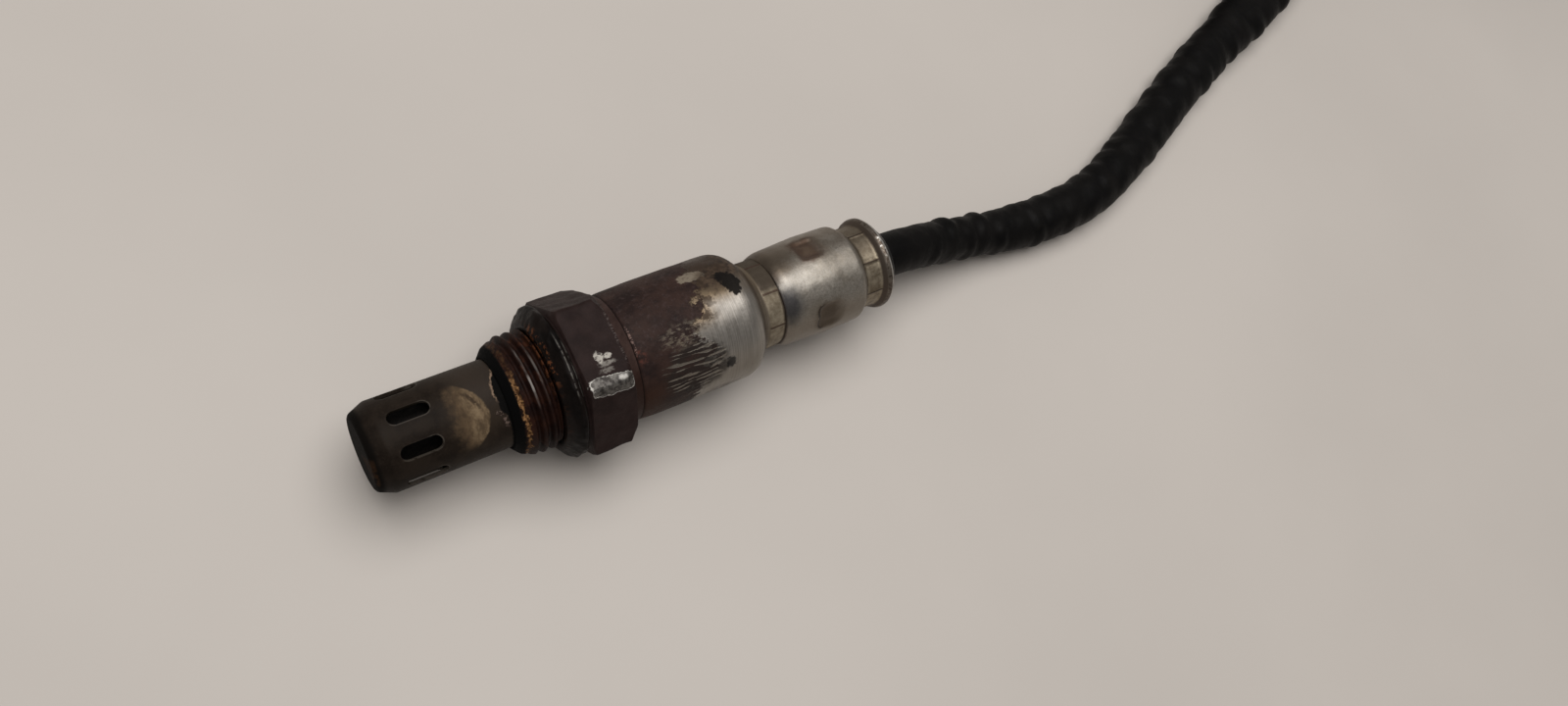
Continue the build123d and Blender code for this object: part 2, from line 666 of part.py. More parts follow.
def lead_hank():
    """Two runs side by side, and the wide fold that joins them."""
    half = HANK_PITCH / 2
    fold_x = HANK_X + HANK_RUN
    reach = HANK_FOLD_R + HANK_EASE_R
    rise = half + HANK_EASE_R
    centre_x = fold_x + sqrt(reach**2 - rise**2)
    meet = acos(rise / reach)

    def ease_point(side, angle):
        centre_y = HANK_Y + side * (half + HANK_EASE_R)
        return fold_x + HANK_EASE_R * sin(angle), centre_y - side * HANK_EASE_R * cos(angle), HANK_Z

    def eased(side):
        return ThreePointArc(ease_point(side, 0), ease_point(side, meet / 2), ease_point(side, meet))

    fold = ThreePointArc(
        ease_point(-1, meet), (centre_x + HANK_FOLD_R, HANK_Y, HANK_Z), ease_point(1, meet)
    )
    centre_line = Wire([eased(-1).edge(), fold.edge(), eased(1).edge()])
    print("hank length", round(centre_line.length + 2 * HANK_RUN, 1))
    loop = tube_along(centre_line, LEAD_D / 2)
    section = Plane.YZ.offset(HANK_X) * Pos(HANK_Y, HANK_Z) * SlotCenterToCenter(HANK_PITCH, LEAD_D)
    return extrude(section, HANK_RUN) + loop


def hank_tie():
    middle = HANK_X + HANK_RUN / 2
    front = Plane.YZ.offset(middle - TIE_WIDTH / 2) * Pos(HANK_Y, HANK_Z)
    inside = LEAD_D + 2 * RING_CLEARANCE
    band = extrude(front * SlotCenterToCenter(HANK_PITCH, inside + 2 * TIE_T - RING_CLEARANCE), TIE_WIDTH)
    band -= extrude(front * SlotCenterToCenter(HANK_PITCH, inside), TIE_WIDTH)
    head_x, head_y, head_z = TIE_HEAD
    head_base = HANK_Z + LEAD_D / 2 + RING_CLEARANCE
    head = box_between(
        middle - head_x / 2, middle + head_x / 2, HANK_Y - head_y / 2, HANK_Y + head_y / 2,
        head_base, head_base + head_z,
    )
    tail_half = TIE_WIDTH / 2 - TIE_TAIL_INSET
    tail_y = HANK_Y + head_y / 2
    bottom, top = TIE_TAIL_HEIGHTS
    tail = box_between(
        middle - tail_half, middle + tail_half, tail_y - TIE_TAIL_ROOT, tail_y + TIE_TAIL_LENGTH,
        head_base + bottom, head_base + top,
    )
    return band + fillet(head.edges(), TIE_HEAD_ROUND) + tail


def connector_places():
    """The four cavities' (y, z), in the same order as the wires round the lead."""
    z = FLOOR_Z + SHROUD[2] / 2
    return [(CONNECTOR_Y + sy * PIN_PITCH_Y / 2, z + sz * PIN_PITCH_Z / 2) for sy, sz in QUARTERS]


def tail_wires():
    """Four short wires from the end of the sleeve into the connector's seal."""
    made = []
    lead_y = HANK_Y + HANK_PITCH / 2
    at_lead, at_connector = TAIL_STRAIGHTS
    for (sy, sz), (y, z) in zip(QUARTERS, connector_places()):
        y0 = lead_y + sy * TAIL_SPREAD
        z0 = HANK_Z + sz * TAIL_SPREAD
        centre_line = FilletPolyline(
            (HANK_X, y0, z0),
            (HANK_X - at_lead, y0, z0),
            (CONNECTOR_X + at_connector, y, z),
            (CONNECTOR_X - SEAL_LENGTH, y, z),
            radius=TAIL_BEND_R,
        )
        made.append(tube_along(centre_line.wire(), WIRE_R))
    return Compound(made)


def connector_box(x0, x1, width, height):
    z = FLOOR_Z + SHROUD[2] / 2
    return box_between(
        x0, x1, CONNECTOR_Y - width / 2, CONNECTOR_Y + width / 2, z - height / 2, z + height / 2
    )


def connector_stations():
    """Along -X: the rear face, the shroud's rear, the mouth's floor and the mouth."""
    shroud_x = CONNECTOR_X - CONNECTOR_REAR[0]
    mouth_x = shroud_x - SHROUD[0]
    return shroud_x, mouth_x + SHROUD_DEPTH, mouth_x


def connector_housing():
    shroud_x, floor_x, mouth_x = connector_stations()
    _, rear_w, rear_h = CONNECTOR_REAR
    _, width, height = SHROUD
    rear = connector_box(shroud_x, CONNECTOR_X, rear_w, rear_h)
    rear = fillet(rear.edges().filter_by(Axis.X), REAR_EDGE_R)
    shroud = connector_box(mouth_x, shroud_x, width, height)
    shroud = fillet(shroud.edges().filter_by(Axis.X), SHROUD_EDGE_R)
    inside = connector_box(mouth_x, floor_x, width - 2 * SHROUD_WALL, height - 2 * SHROUD_WALL)
    body = rear + shroud - fillet(inside.edges().filter_by(Axis.X), MOUTH_EDGE_R)
    pocket_w = rear_w - 2 * SEAL_MARGIN
    body -= connector_box(CONNECTOR_X - SEAL_LENGTH, CONNECTOR_X, pocket_w, rear_h - 2 * SEAL_MARGIN)
    for y, z in connector_places():
        body -= rod(floor_x, CONNECTOR_X, CAVITY_R, y, z)
    for place in RIB_PLACES:
        front = shroud_x + place
        side = connector_box(front, front + RIB_T, rear_w + 2 * RIB_PROUD, RIB_HEIGHT)
        body += side - connector_box(front, front + RIB_T, rear_w - 2 * RIB_ROOT, RIB_HEIGHT)
    top = FLOOR_Z + height
    ramp_x = mouth_x + RAMP_START
    ramp_end = ramp_x + RAMP_LENGTH
    low, high = RAMP_HEIGHTS
    ramp = Polyline(
        (ramp_x, top - RAMP_ROOT),
        (ramp_x, top + low),
        (ramp_end, top + high),
        (ramp_end, top - RAMP_ROOT),
        close=True,
    )
    body += Pos(0, CONNECTOR_Y, 0) * extrude(Plane.XZ * make_face(ramp), RAMP_WIDTH / 2, both=True)
    return body


def connector_seal():
    _, rear_w, rear_h = CONNECTOR_REAR
    front = CONNECTOR_X - SEAL_LENGTH
    rear = CONNECTOR_X + SEAL_PROUD
    margin = 2 * SEAL_MARGIN + SEAL_GAP
    seal = connector_box(front, rear, rear_w - margin, rear_h - margin)
    for y, z in connector_places():
        seal -= rod(front, rear, WIRE_R, y, z)
    return seal


def connector_pins():
    _, floor_x, _ = connector_stations()
    made = []
    for y, z in connector_places():
        middle = floor_x + (PIN_ROOT - PIN_REACH) / 2
        blade = Pos(middle, y, z) * Box(PIN_REACH + PIN_ROOT, *PIN_SIZE)
        barrel = rod(floor_x + PIN_BARREL_START, CONNECTOR_X - SEAL_LENGTH, PIN_BARREL_R, y, z)
        made.append(blade + barrel)
    return Compound(made)


def connector_lock():
    """The coloured frame that keeps the terminals in."""
    _, floor_x, _ = connector_stations()
    _, width, height = SHROUD
    margin = 2 * (SHROUD_WALL + LOCK_CLEARANCE)
    frame = connector_box(floor_x - LOCK_T, floor_x, width - margin, height - margin)
    frame = fillet(frame.edges().filter_by(Axis.X), LOCK_EDGE_R)
    hole_w, hole_h = [size + 2 * PIN_CLEARANCE for size in PIN_SIZE]
    for y, z in connector_places():
        frame -= Pos(floor_x - LOCK_T / 2, y, z) * Box(LOCK_T, hole_w, hole_h)
    return frame


places = wire_places()
NODES = {
    "housing_shell": housing_shell(),
    "gasket": gasket(),
    "outer_protection_tube": outer_protection_tube(),
    "inner_protection_tube": inner_protection_tube(),
    "sensing_element": sensing_element(),
    "heater_rod": heater_rod(),
    "powder_ring": powder_ring(),
    "ceramic_ring": ceramic_ring(),
    "packing_ring": packing_ring(),
    "outer_contact": outer_contact(),
    "inner_contact": inner_contact(),
    "front_casing": front_casing(),
    "rear_sleeve": rear_sleeve(),
    "contact_holder": contact_holder(),
    "spring_sleeve": spring_sleeve(),
    "sensor_terminals": terminals(),
    "signal_wires": sensor_wires(places[:2]),
    "heater_wires": sensor_wires(places[2:]),
    "grommet": grommet(),
    "lead_sleeve": lead_sleeve(),
    "lead_hank": lead_hank(),
    "hank_tie": hank_tie(),
    "tail_wires": tail_wires(),
    "connector_housing": connector_housing(),
    "connector_seal": connector_seal(),
    "connector_pins": connector_pins(),
    "connector_lock": connector_lock(),
}

os.makedirs("parts", exist_ok=True)
for name, shape in NODES.items():
    export_step(shape, f"parts/{name}.step")
    print(name, round(shape.volume, 1), "solids", len(shape.solids()), "valid", shape.is_valid)
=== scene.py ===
import functools
import math

import bmesh
import bpy
from mathutils import Matrix, Vector, noise


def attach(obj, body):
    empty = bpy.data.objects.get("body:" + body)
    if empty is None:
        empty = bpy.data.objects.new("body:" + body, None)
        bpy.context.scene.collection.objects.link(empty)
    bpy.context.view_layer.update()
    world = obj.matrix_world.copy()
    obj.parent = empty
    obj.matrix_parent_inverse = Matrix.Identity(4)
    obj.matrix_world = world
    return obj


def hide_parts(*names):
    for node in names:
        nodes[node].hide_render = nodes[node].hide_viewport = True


# Looks for the oxygen sensor: camera, light, table, materials, and finer skins for the lead, the threaded
# shell, the gasket, the front casing and the rear sleeve.
# Places on the sensor are (x, turn, radius): mm along the axis, degrees from +Y towards +Z, mm.

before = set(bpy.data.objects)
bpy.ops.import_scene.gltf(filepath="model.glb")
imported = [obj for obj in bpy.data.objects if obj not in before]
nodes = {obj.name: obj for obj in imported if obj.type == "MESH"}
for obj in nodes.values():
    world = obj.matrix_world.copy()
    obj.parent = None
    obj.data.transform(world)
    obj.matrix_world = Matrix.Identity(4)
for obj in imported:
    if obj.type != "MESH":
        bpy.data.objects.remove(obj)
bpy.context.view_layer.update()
MM = 0.001

# Sizes that repeat the part's own, in mm and degrees
FLOOR_Z = -11.5
NOSE_X = -6.6
THREAD_R = 9.0
THREAD_ROOT_R = 8.12
THREAD_PITCH = 1.5
THREAD_CREST_X = -1.5
THREAD_CREST_TURN = 104.3
TUBE_R = 6.64
SLOT_X = -19.06
SLOT_TURN = 32.9
SLOT_PITCH = 45
SLOT_HALF_RUN = 1.85
GASKET_T = 2.9
HEX_X = 3.4
HEX_END = 10.3
HEX_FLAT_R = 11.0
CASING_X = 12.05
CASING_R = 10.1
SHOULDER_X = 32.8
NECK_R = 7.1
NECK_END = 38.4
SLEEVE_R = 8.0
DIMPLE_X = 46.46
DIMPLE_TURN = 60.8
DIMPLE_PITCH = 90
DIMPLE_R = 2.6
DIMPLE_DEPTH = 0.5
CRIMP_R = 6.7
JAW_PITCH = 45
NECK_JAW_TURN = 7.3
REAR_JAW_TURN = 16.0

# Points round the lead, and mm between its rings
LEAD_COUNT = 56
LEAD_GAP = 0.55

# The camera, fitted to the view: metres, but its lens in mm
CAMERA_RIGHT = (0.83114, -0.44949, 0.32737)
CAMERA_UP = (0.33777, 0.87576, 0.34491)
CAMERA_PLACE = (-0.043813, -0.04158, 0.162678)
CAMERA_LENS = 27.0

TABLE_HALF = 3.0  # metres
GRIMY = 0.06  # specular level: baked dirt hardly shines

# The lead's control points: the part's route, then the hank's corners
LEAD_POINTS = [
    (60.7, 0.0, 0.0), (66.5, 0.2, -0.7), (79.5, -0.1, -5.2), (93.0, -1.6, -7.4),
    (104.0, -2.4, -7.6), (118.0, -1.3, -7.7), (135.8, 5.95, -7.9), (157.8, 16.0, -7.8),
    (180.0, 23.6, -7.3), (212.0, 36.1, -6.25), (232.0, 36.1, -6.25), (260.5, 36.1, -6.25),
    (278.1, 13.9, -6.25), (305.5, 16.3, -6.25), (318.6, 40.5, -6.25), (305.5, 64.7, -6.25),
    (278.1, 67.1, -6.25), (260.5, 44.9, -6.25), (232.0, 44.9, -6.25),
]


def on_skin(x, turn, radius):
    """The point (mm) at a place on the sensor."""
    return Vector((x, radius * math.cos(math.radians(turn)), radius * math.sin(math.radians(turn))))


def smooth(low, high, value):
    """A smooth rise from 0 to 1 as value goes from low to high."""
    t = min(1.0, max(0.0, (value - low) / (high - low)))
    return t * t * (3 - 2 * t)


def from_mark(value, first, pitch):
    """How far a value is from the nearest of the marks that stand pitch apart."""
    return (value - first + pitch / 2) % pitch - pitch / 2


def link(thing):
    bpy.context.scene.collection.objects.link(thing)
    return thing


# ---- camera, light and table


def add_camera():
    """The photograph's view. The camera looks along -Z of its own axes."""
    right = Vector(CAMERA_RIGHT)
    up = Vector(CAMERA_UP)
    back = right.cross(up)
    data = bpy.data.cameras.new("camera")
    data.lens = CAMERA_LENS
    data.sensor_width = 36.0
    data.clip_start = 0.01
    data.clip_end = 30.0
    camera = link(bpy.data.objects.new("camera", data))
    turn = Matrix((right, up, back)).transposed().to_4x4()
    camera.matrix_world = Matrix.Translation(Vector(CAMERA_PLACE)) @ turn
    bpy.context.scene.camera = camera


def add_area(name, place, target, size, power, color):
    data = bpy.data.lights.new(name, "AREA")
    data.shape = "DISK"
    data.size = size
    data.energy = power
    data.color = color
    light = link(bpy.data.objects.new(name, data))
    light.location = place
    aim = Vector(target) - Vector(place)
    light.rotation_euler = aim.to_track_quat("-Z", "Y").to_euler()


def add_world():
    """Pale at the horizon and dimmer above it, so that bright metal has something to show."""
    world = bpy.data.worlds.new("studio")
    bpy.context.scene.world = world
    world.use_nodes = True
    tree = world.node_tree
    background = tree.nodes["Background"]
    background.inputs["Strength"].default_value = 1.0
    direction = tree.nodes.new("ShaderNodeTexCoord").outputs["Generated"]
    parts = tree.nodes.new("ShaderNodeSeparateXYZ")
    tree.links.new(direction, parts.inputs[0])
    height = tree.nodes.new("ShaderNodeMapRange")
    height.inputs["From Min"].default_value = 0.05
    height.inputs["From Max"].default_value = 0.35
    tree.links.new(parts.outputs["Z"], height.inputs["Value"])
    shade = tree.nodes.new("ShaderNodeMix")
    shade.data_type = "RGBA"
    shade.inputs[6].default_value = (0.44, 0.42, 0.39, 1)
    shade.inputs[7].default_value = (0.21, 0.205, 0.20, 1)
    tree.links.new(height.outputs["Result"], shade.inputs[0])
    tree.links.new(shade.outputs[2], background.inputs["Color"])


# ---- materials


class Skin:
    """A procedural material, built by short calls. Its coordinates are millimetres in the part's frame."""

    def __init__(self, name, gloss=None):
        self.material = bpy.data.materials.new(name)
        self.material.use_nodes = True
        self.tree = self.material.node_tree
        self.shader = self.tree.nodes["Principled BSDF"]
        if gloss is not None:
            self.set("Specular IOR Level", gloss)
        coords = self.node("TexCoord").outputs["Object"]
        self.place = self.mapped(coords, (1 / MM, 1 / MM, 1 / MM))
        self.color = None
        self.height = None

    def node(self, kind):
        return self.tree.nodes.new("ShaderNode" + kind)

    def put(self, socket, value):
        if isinstance(value, bpy.types.NodeSocket):
            self.tree.links.new(value, socket)
        elif isinstance(value, tuple) and len(value) == 3 and socket.type == "RGBA":
            socket.default_value = (*value, 1)
        else:
            socket.default_value = value

    def set(self, name, value):
        self.put(self.shader.inputs[name], value)

    def mapped(self, vector, factors, shift=(0, 0, 0)):
        """vector x factors + shift."""
        node = self.node("Mapping")
        self.put(node.inputs["Vector"], vector)
        node.inputs["Scale"].default_value = factors
        node.inputs["Location"].default_value = shift
        return node.outputs["Vector"]

    def noise(self, size, detail=3, rough=0.6, stretch=(1, 1, 1), seed=0):
        """Noise from 0 to 1 whose features are about size mm, longer where stretch is above 1."""
        node = self.node("TexNoise")
        factors = tuple(1 / (size * s) for s in stretch)
        shift = (seed * 7.3, seed * 3.1, seed * 5.7)
        self.put(node.inputs["Vector"], self.mapped(self.place, factors, shift))
        node.inputs["Scale"].default_value = 1.0
        node.inputs["Detail"].default_value = detail
        node.inputs["Roughness"].default_value = rough
        return node.outputs["Fac"]

    def math(self, kind, *values, clamp=False):
        node = self.node("Math")
        node.operation = kind
        node.use_clamp = clamp
        for socket, value in zip(node.inputs, values):
            self.put(socket, value)
        return node.outputs["Value"]

    def plus(self, a, b):
        return self.math("ADD", a, b)

    def minus(self, a, b):
        return self.math("SUBTRACT", a, b)

    def scaled(self, a, factor, rise):
        """a x factor + rise."""
        return self.math("MULTIPLY_ADD", a, factor, rise)

    def power(self, a, exponent):
        return self.math("POWER", a, exponent)

    def off(self, value, centre):
        """How far value is from centre."""
        return self.math("ABSOLUTE", self.minus(value, centre))

    def step(self, value, low, high, out_low=0.0, out_high=1.0):
        """A smooth change from out_low to out_high as value goes from low to high."""
        node = self.node("MapRange")
        node.interpolation_type = "SMOOTHSTEP"
        self.put(node.inputs["Value"], value)
        down = high < low
        node.inputs["From Min"].default_value = high if down else low
        node.inputs["From Max"].default_value = low if down else high
        node.inputs["To Min"].default_value = out_high if down else out_low
        node.inputs["To Max"].default_value = out_low if down else out_high
        return node.outputs["Result"]

    def near(self, value, centre, none, full, least=0.0):
        """1 within full of centre, down to least at none from it."""
        return self.step(self.off(value, centre), none, full, least)

    def outside(self, mask):
        return self.minus(1.0, mask)

    def both(self, *masks):
        """The product of masks and shares."""
        return functools.reduce(lambda a, b: self.math("MULTIPLY", a, b), masks)

    def either(self, *masks):
        """The largest of the masks."""
        return functools.reduce(lambda a, b: self.math("MAXIMUM", a, b), masks)

    def mix(self, amount, a, b):
        node = self.node("Mix")
        node.data_type = "RGBA"
        self.put(node.inputs[0], amount)
        self.put(node.inputs[6], a)
        self.put(node.inputs[7], b)
        return node.outputs[2]

    def cover(self, base, tint, *masks):
        """base, with tint over it where every mask lets it and as far as the shares say."""
        return self.mix(self.both(*masks), base, tint)

    def paint(self, tint, *masks):
        """Covers the skin's own color so far."""
        self.color = self.cover(self.color, tint, *masks)

    def axis(self, name):
        node = self.node("SeparateXYZ")
        self.put(node.inputs[0], self.place)
        return node.outputs[name]

    def turn(self):
        """The angle about the axis in degrees, 0 to 360."""
        angle = self.math("ARCTAN2", self.axis("Z"), self.axis("Y"))
        degrees = self.math("MULTIPLY", angle, 180 / math.pi)
        return self.math("MODULO", self.plus(degrees, 360), 360)

    def from_mark(self, turn, first, pitch):
        """Degrees from the nearest of the marks that stand pitch apart round the axis."""
        ahead = self.plus(turn, 720 - first + pitch / 2)
        return self.minus(self.math("MODULO", ahead, pitch), pitch / 2)

    def arc(self, turn, radius):
        """Degrees as mm round a skin of that radius."""
        return self.math("MULTIPLY", turn, radius * math.pi / 180)

    def blob(self, place, length, width, edge, wobble, size, seed):
        """1 inside a ragged patch of that length along the axis and width round it, 0 outside."""
        node = self.node("VectorMath")
        node.operation = "SUBTRACT"
        self.put(node.inputs[0], self.place)
        node.inputs[1].default_value = on_skin(*place)
        squeezed = self.mapped(node.outputs["Vector"], (2 / length, 2 / width, 2 / width))
        reach = self.node("VectorMath")
        reach.operation = "LENGTH"
        self.put(reach.inputs[0], squeezed)
        ragged = self.scaled(self.noise(size, 4, 0.65, seed=seed), 2 * wobble, -wobble)
        return self.step(self.plus(reach.outputs["Value"], ragged), 1 + edge / 2, 1 - edge / 2)

    def raise_by(self, amount, depth):
        """Adds amount x depth (mm) to the surface's height."""
        rise = self.both(amount, depth)
        self.height = rise if self.height is None else self.plus(self.height, rise)

    def done(self, rough, metal=0.0):
        self.set("Base Color", self.color)
        self.set("Roughness", rough)
        self.set("Metallic", metal)
        if self.height is not None:
            bump = self.node("Bump")
            bump.inputs["Distance"].default_value = MM
            self.put(bump.inputs["Height"], self.height)
            self.put(self.shader.inputs["Normal"], bump.outputs["Normal"])
        return self.material


def tube_steel(name):
    """Scaled, heat-stained protection tube with painted highlights on its slot edges."""
    m = Skin(name, gloss=GRIMY)
    x = m.axis("X")
    turn = m.turn()
    grain = m.noise(0.35, 5, 0.7)
    cloud = m.noise(3.5, 4, seed=1)
    m.color = m.mix(m.step(cloud, 0.35, 0.65), (0.0082, 0.0054, 0.0038), (0.0165, 0.0115, 0.0082))
    m.paint((0.03, 0.022, 0.016), m.step(grain, 0.45, 0.8, 0, 0.4))
    grey = m.both(m.step(x, -15.5, -10.0), m.step(turn, 112, 78))
    m.paint((0.0335, 0.026, 0.0215), grey, 0.7)
    olive = m.both(m.step(x, -17.0, -11.0), m.step(cloud, 0.2, 0.6, 0.3, 1))
    m.paint((0.0385, 0.0275, 0.0195), olive, 0.4)
    # the ochre stain: sharp curved edge towards the nose, feathered forwards
    bend = m.power(m.both(m.off(turn, 110), 1 / 42), 2)
    edge = m.scaled(bend, -2.6, -9.25)
    behind = m.minus(m.scaled(m.noise(0.8, 3, 0.55, seed=2), 0.5, x), edge)
    stain = m.step(behind, 0.45, 0.05)
    fade = m.scaled(m.noise(1.7, 5, 0.7, seed=3), 4.4, m.minus(x, 2.2))
    stain = m.both(stain, m.step(fade, -14.9, -12.2), m.near(turn, 107, 47, 33))
    body = m.noise(1.3, 5, 0.7, (0.7, 1.4, 1.4), seed=4)
    m.paint((0.1, 0.066, 0.038), stain, m.step(body, 0.25, 0.65, 0.4, 0.95))
    heart = m.both(stain, m.step(fade, -13.0, -10.6))
    m.paint((0.205, 0.148, 0.09), heart, m.step(body, 0.38, 0.7, 0.1, 0.9))
    inner = m.both(m.near(behind, -0.75, 0.42, 0.16), m.near(turn, 92, 17, 8))
    inner = m.both(inner, m.step(m.noise(0.6, seed=5), 0.4, 0.5))
    m.paint((0.03, 0.02, 0.014), inner, 0.8)
    # a flaky line of deposit in front of the soot on the nose
    line = m.step(turn, 52, 88, -6.3, -7.75)
    line = m.plus(line, m.step(turn, 116, 124, 0, 0.75))
    line = m.scaled(m.noise(0.9, 4, 0.7, seed=6), 0.8, m.minus(line, 0.4))
    past = m.minus(x, line)
    flake = m.step(m.math("ABSOLUTE", past), 0.24, 0.08)
    broad = m.both(m.near(past, -0.25, 0.5, 0.25), m.step(turn, 112, 117))
    broad = m.both(m.step(turn, 140, 132), m.step(m.noise(0.5, seed=7), 0.47, 0.55), broad)
    flake = m.both(m.step(turn, 106, 96), m.step(m.noise(1.1, seed=8), 0.3, 0.46), flake)
    m.paint((0.24, 0.165, 0.115), flake, 0.75)
    soot = m.step(past, 0.05, 0.25)
    m.paint((0.0022, 0.0022, 0.0022), soot, 0.96)
    m.paint((0.135, 0.095, 0.08), broad, 0.8)
    # painted highlights round the slots' edges, mostly behind and below them
    across = m.arc(m.from_mark(turn, SLOT_TURN, SLOT_PITCH), TUBE_R)
    along = m.either(m.minus(m.off(x, SLOT_X), SLOT_HALF_RUN), 0.0)
    reach = m.math("SQRT", m.plus(m.power(along, 2), m.both(across, across)))
    rim = m.both(m.step(reach, 1.27, 1.12), m.step(m.noise(1.0, 2, 0.55, seed=9), 0.3, 0.5))
    side = m.either(m.step(m.minus(x, SLOT_X), 0.9, 2.0), m.step(across, 0.5, 0.95))
    rim = m.both(rim, m.scaled(side, 0.9, 0.1))
    m.paint((0.14, 0.122, 0.102), rim, 0.28)
    # the end: black, with a rusty crescent low on its edge
    end = m.step(x, -24.4, -25.2)
    m.paint((0.0024, 0.0019, 0.0015), end, 0.9)
    crescent = m.both(m.step(x, -25.1, -25.5), m.near(turn, 142, 30, 16))
    crescent = m.both(crescent, m.step(m.noise(1.2, 3, 0.55, seed=10), 0.35, 0.55))
    m.paint((0.04, 0.019, 0.009), crescent, 0.6)
    m.raise_by(grain, 0.035)
    m.raise_by(stain, 0.02)
    m.raise_by(m.either(flake, broad), 0.12)
    rough = m.plus(m.step(grain, 0.3, 0.8, 0.46, 0.64), m.both(m.either(stain, soot, end), 0.3))
    return m.done(rough)


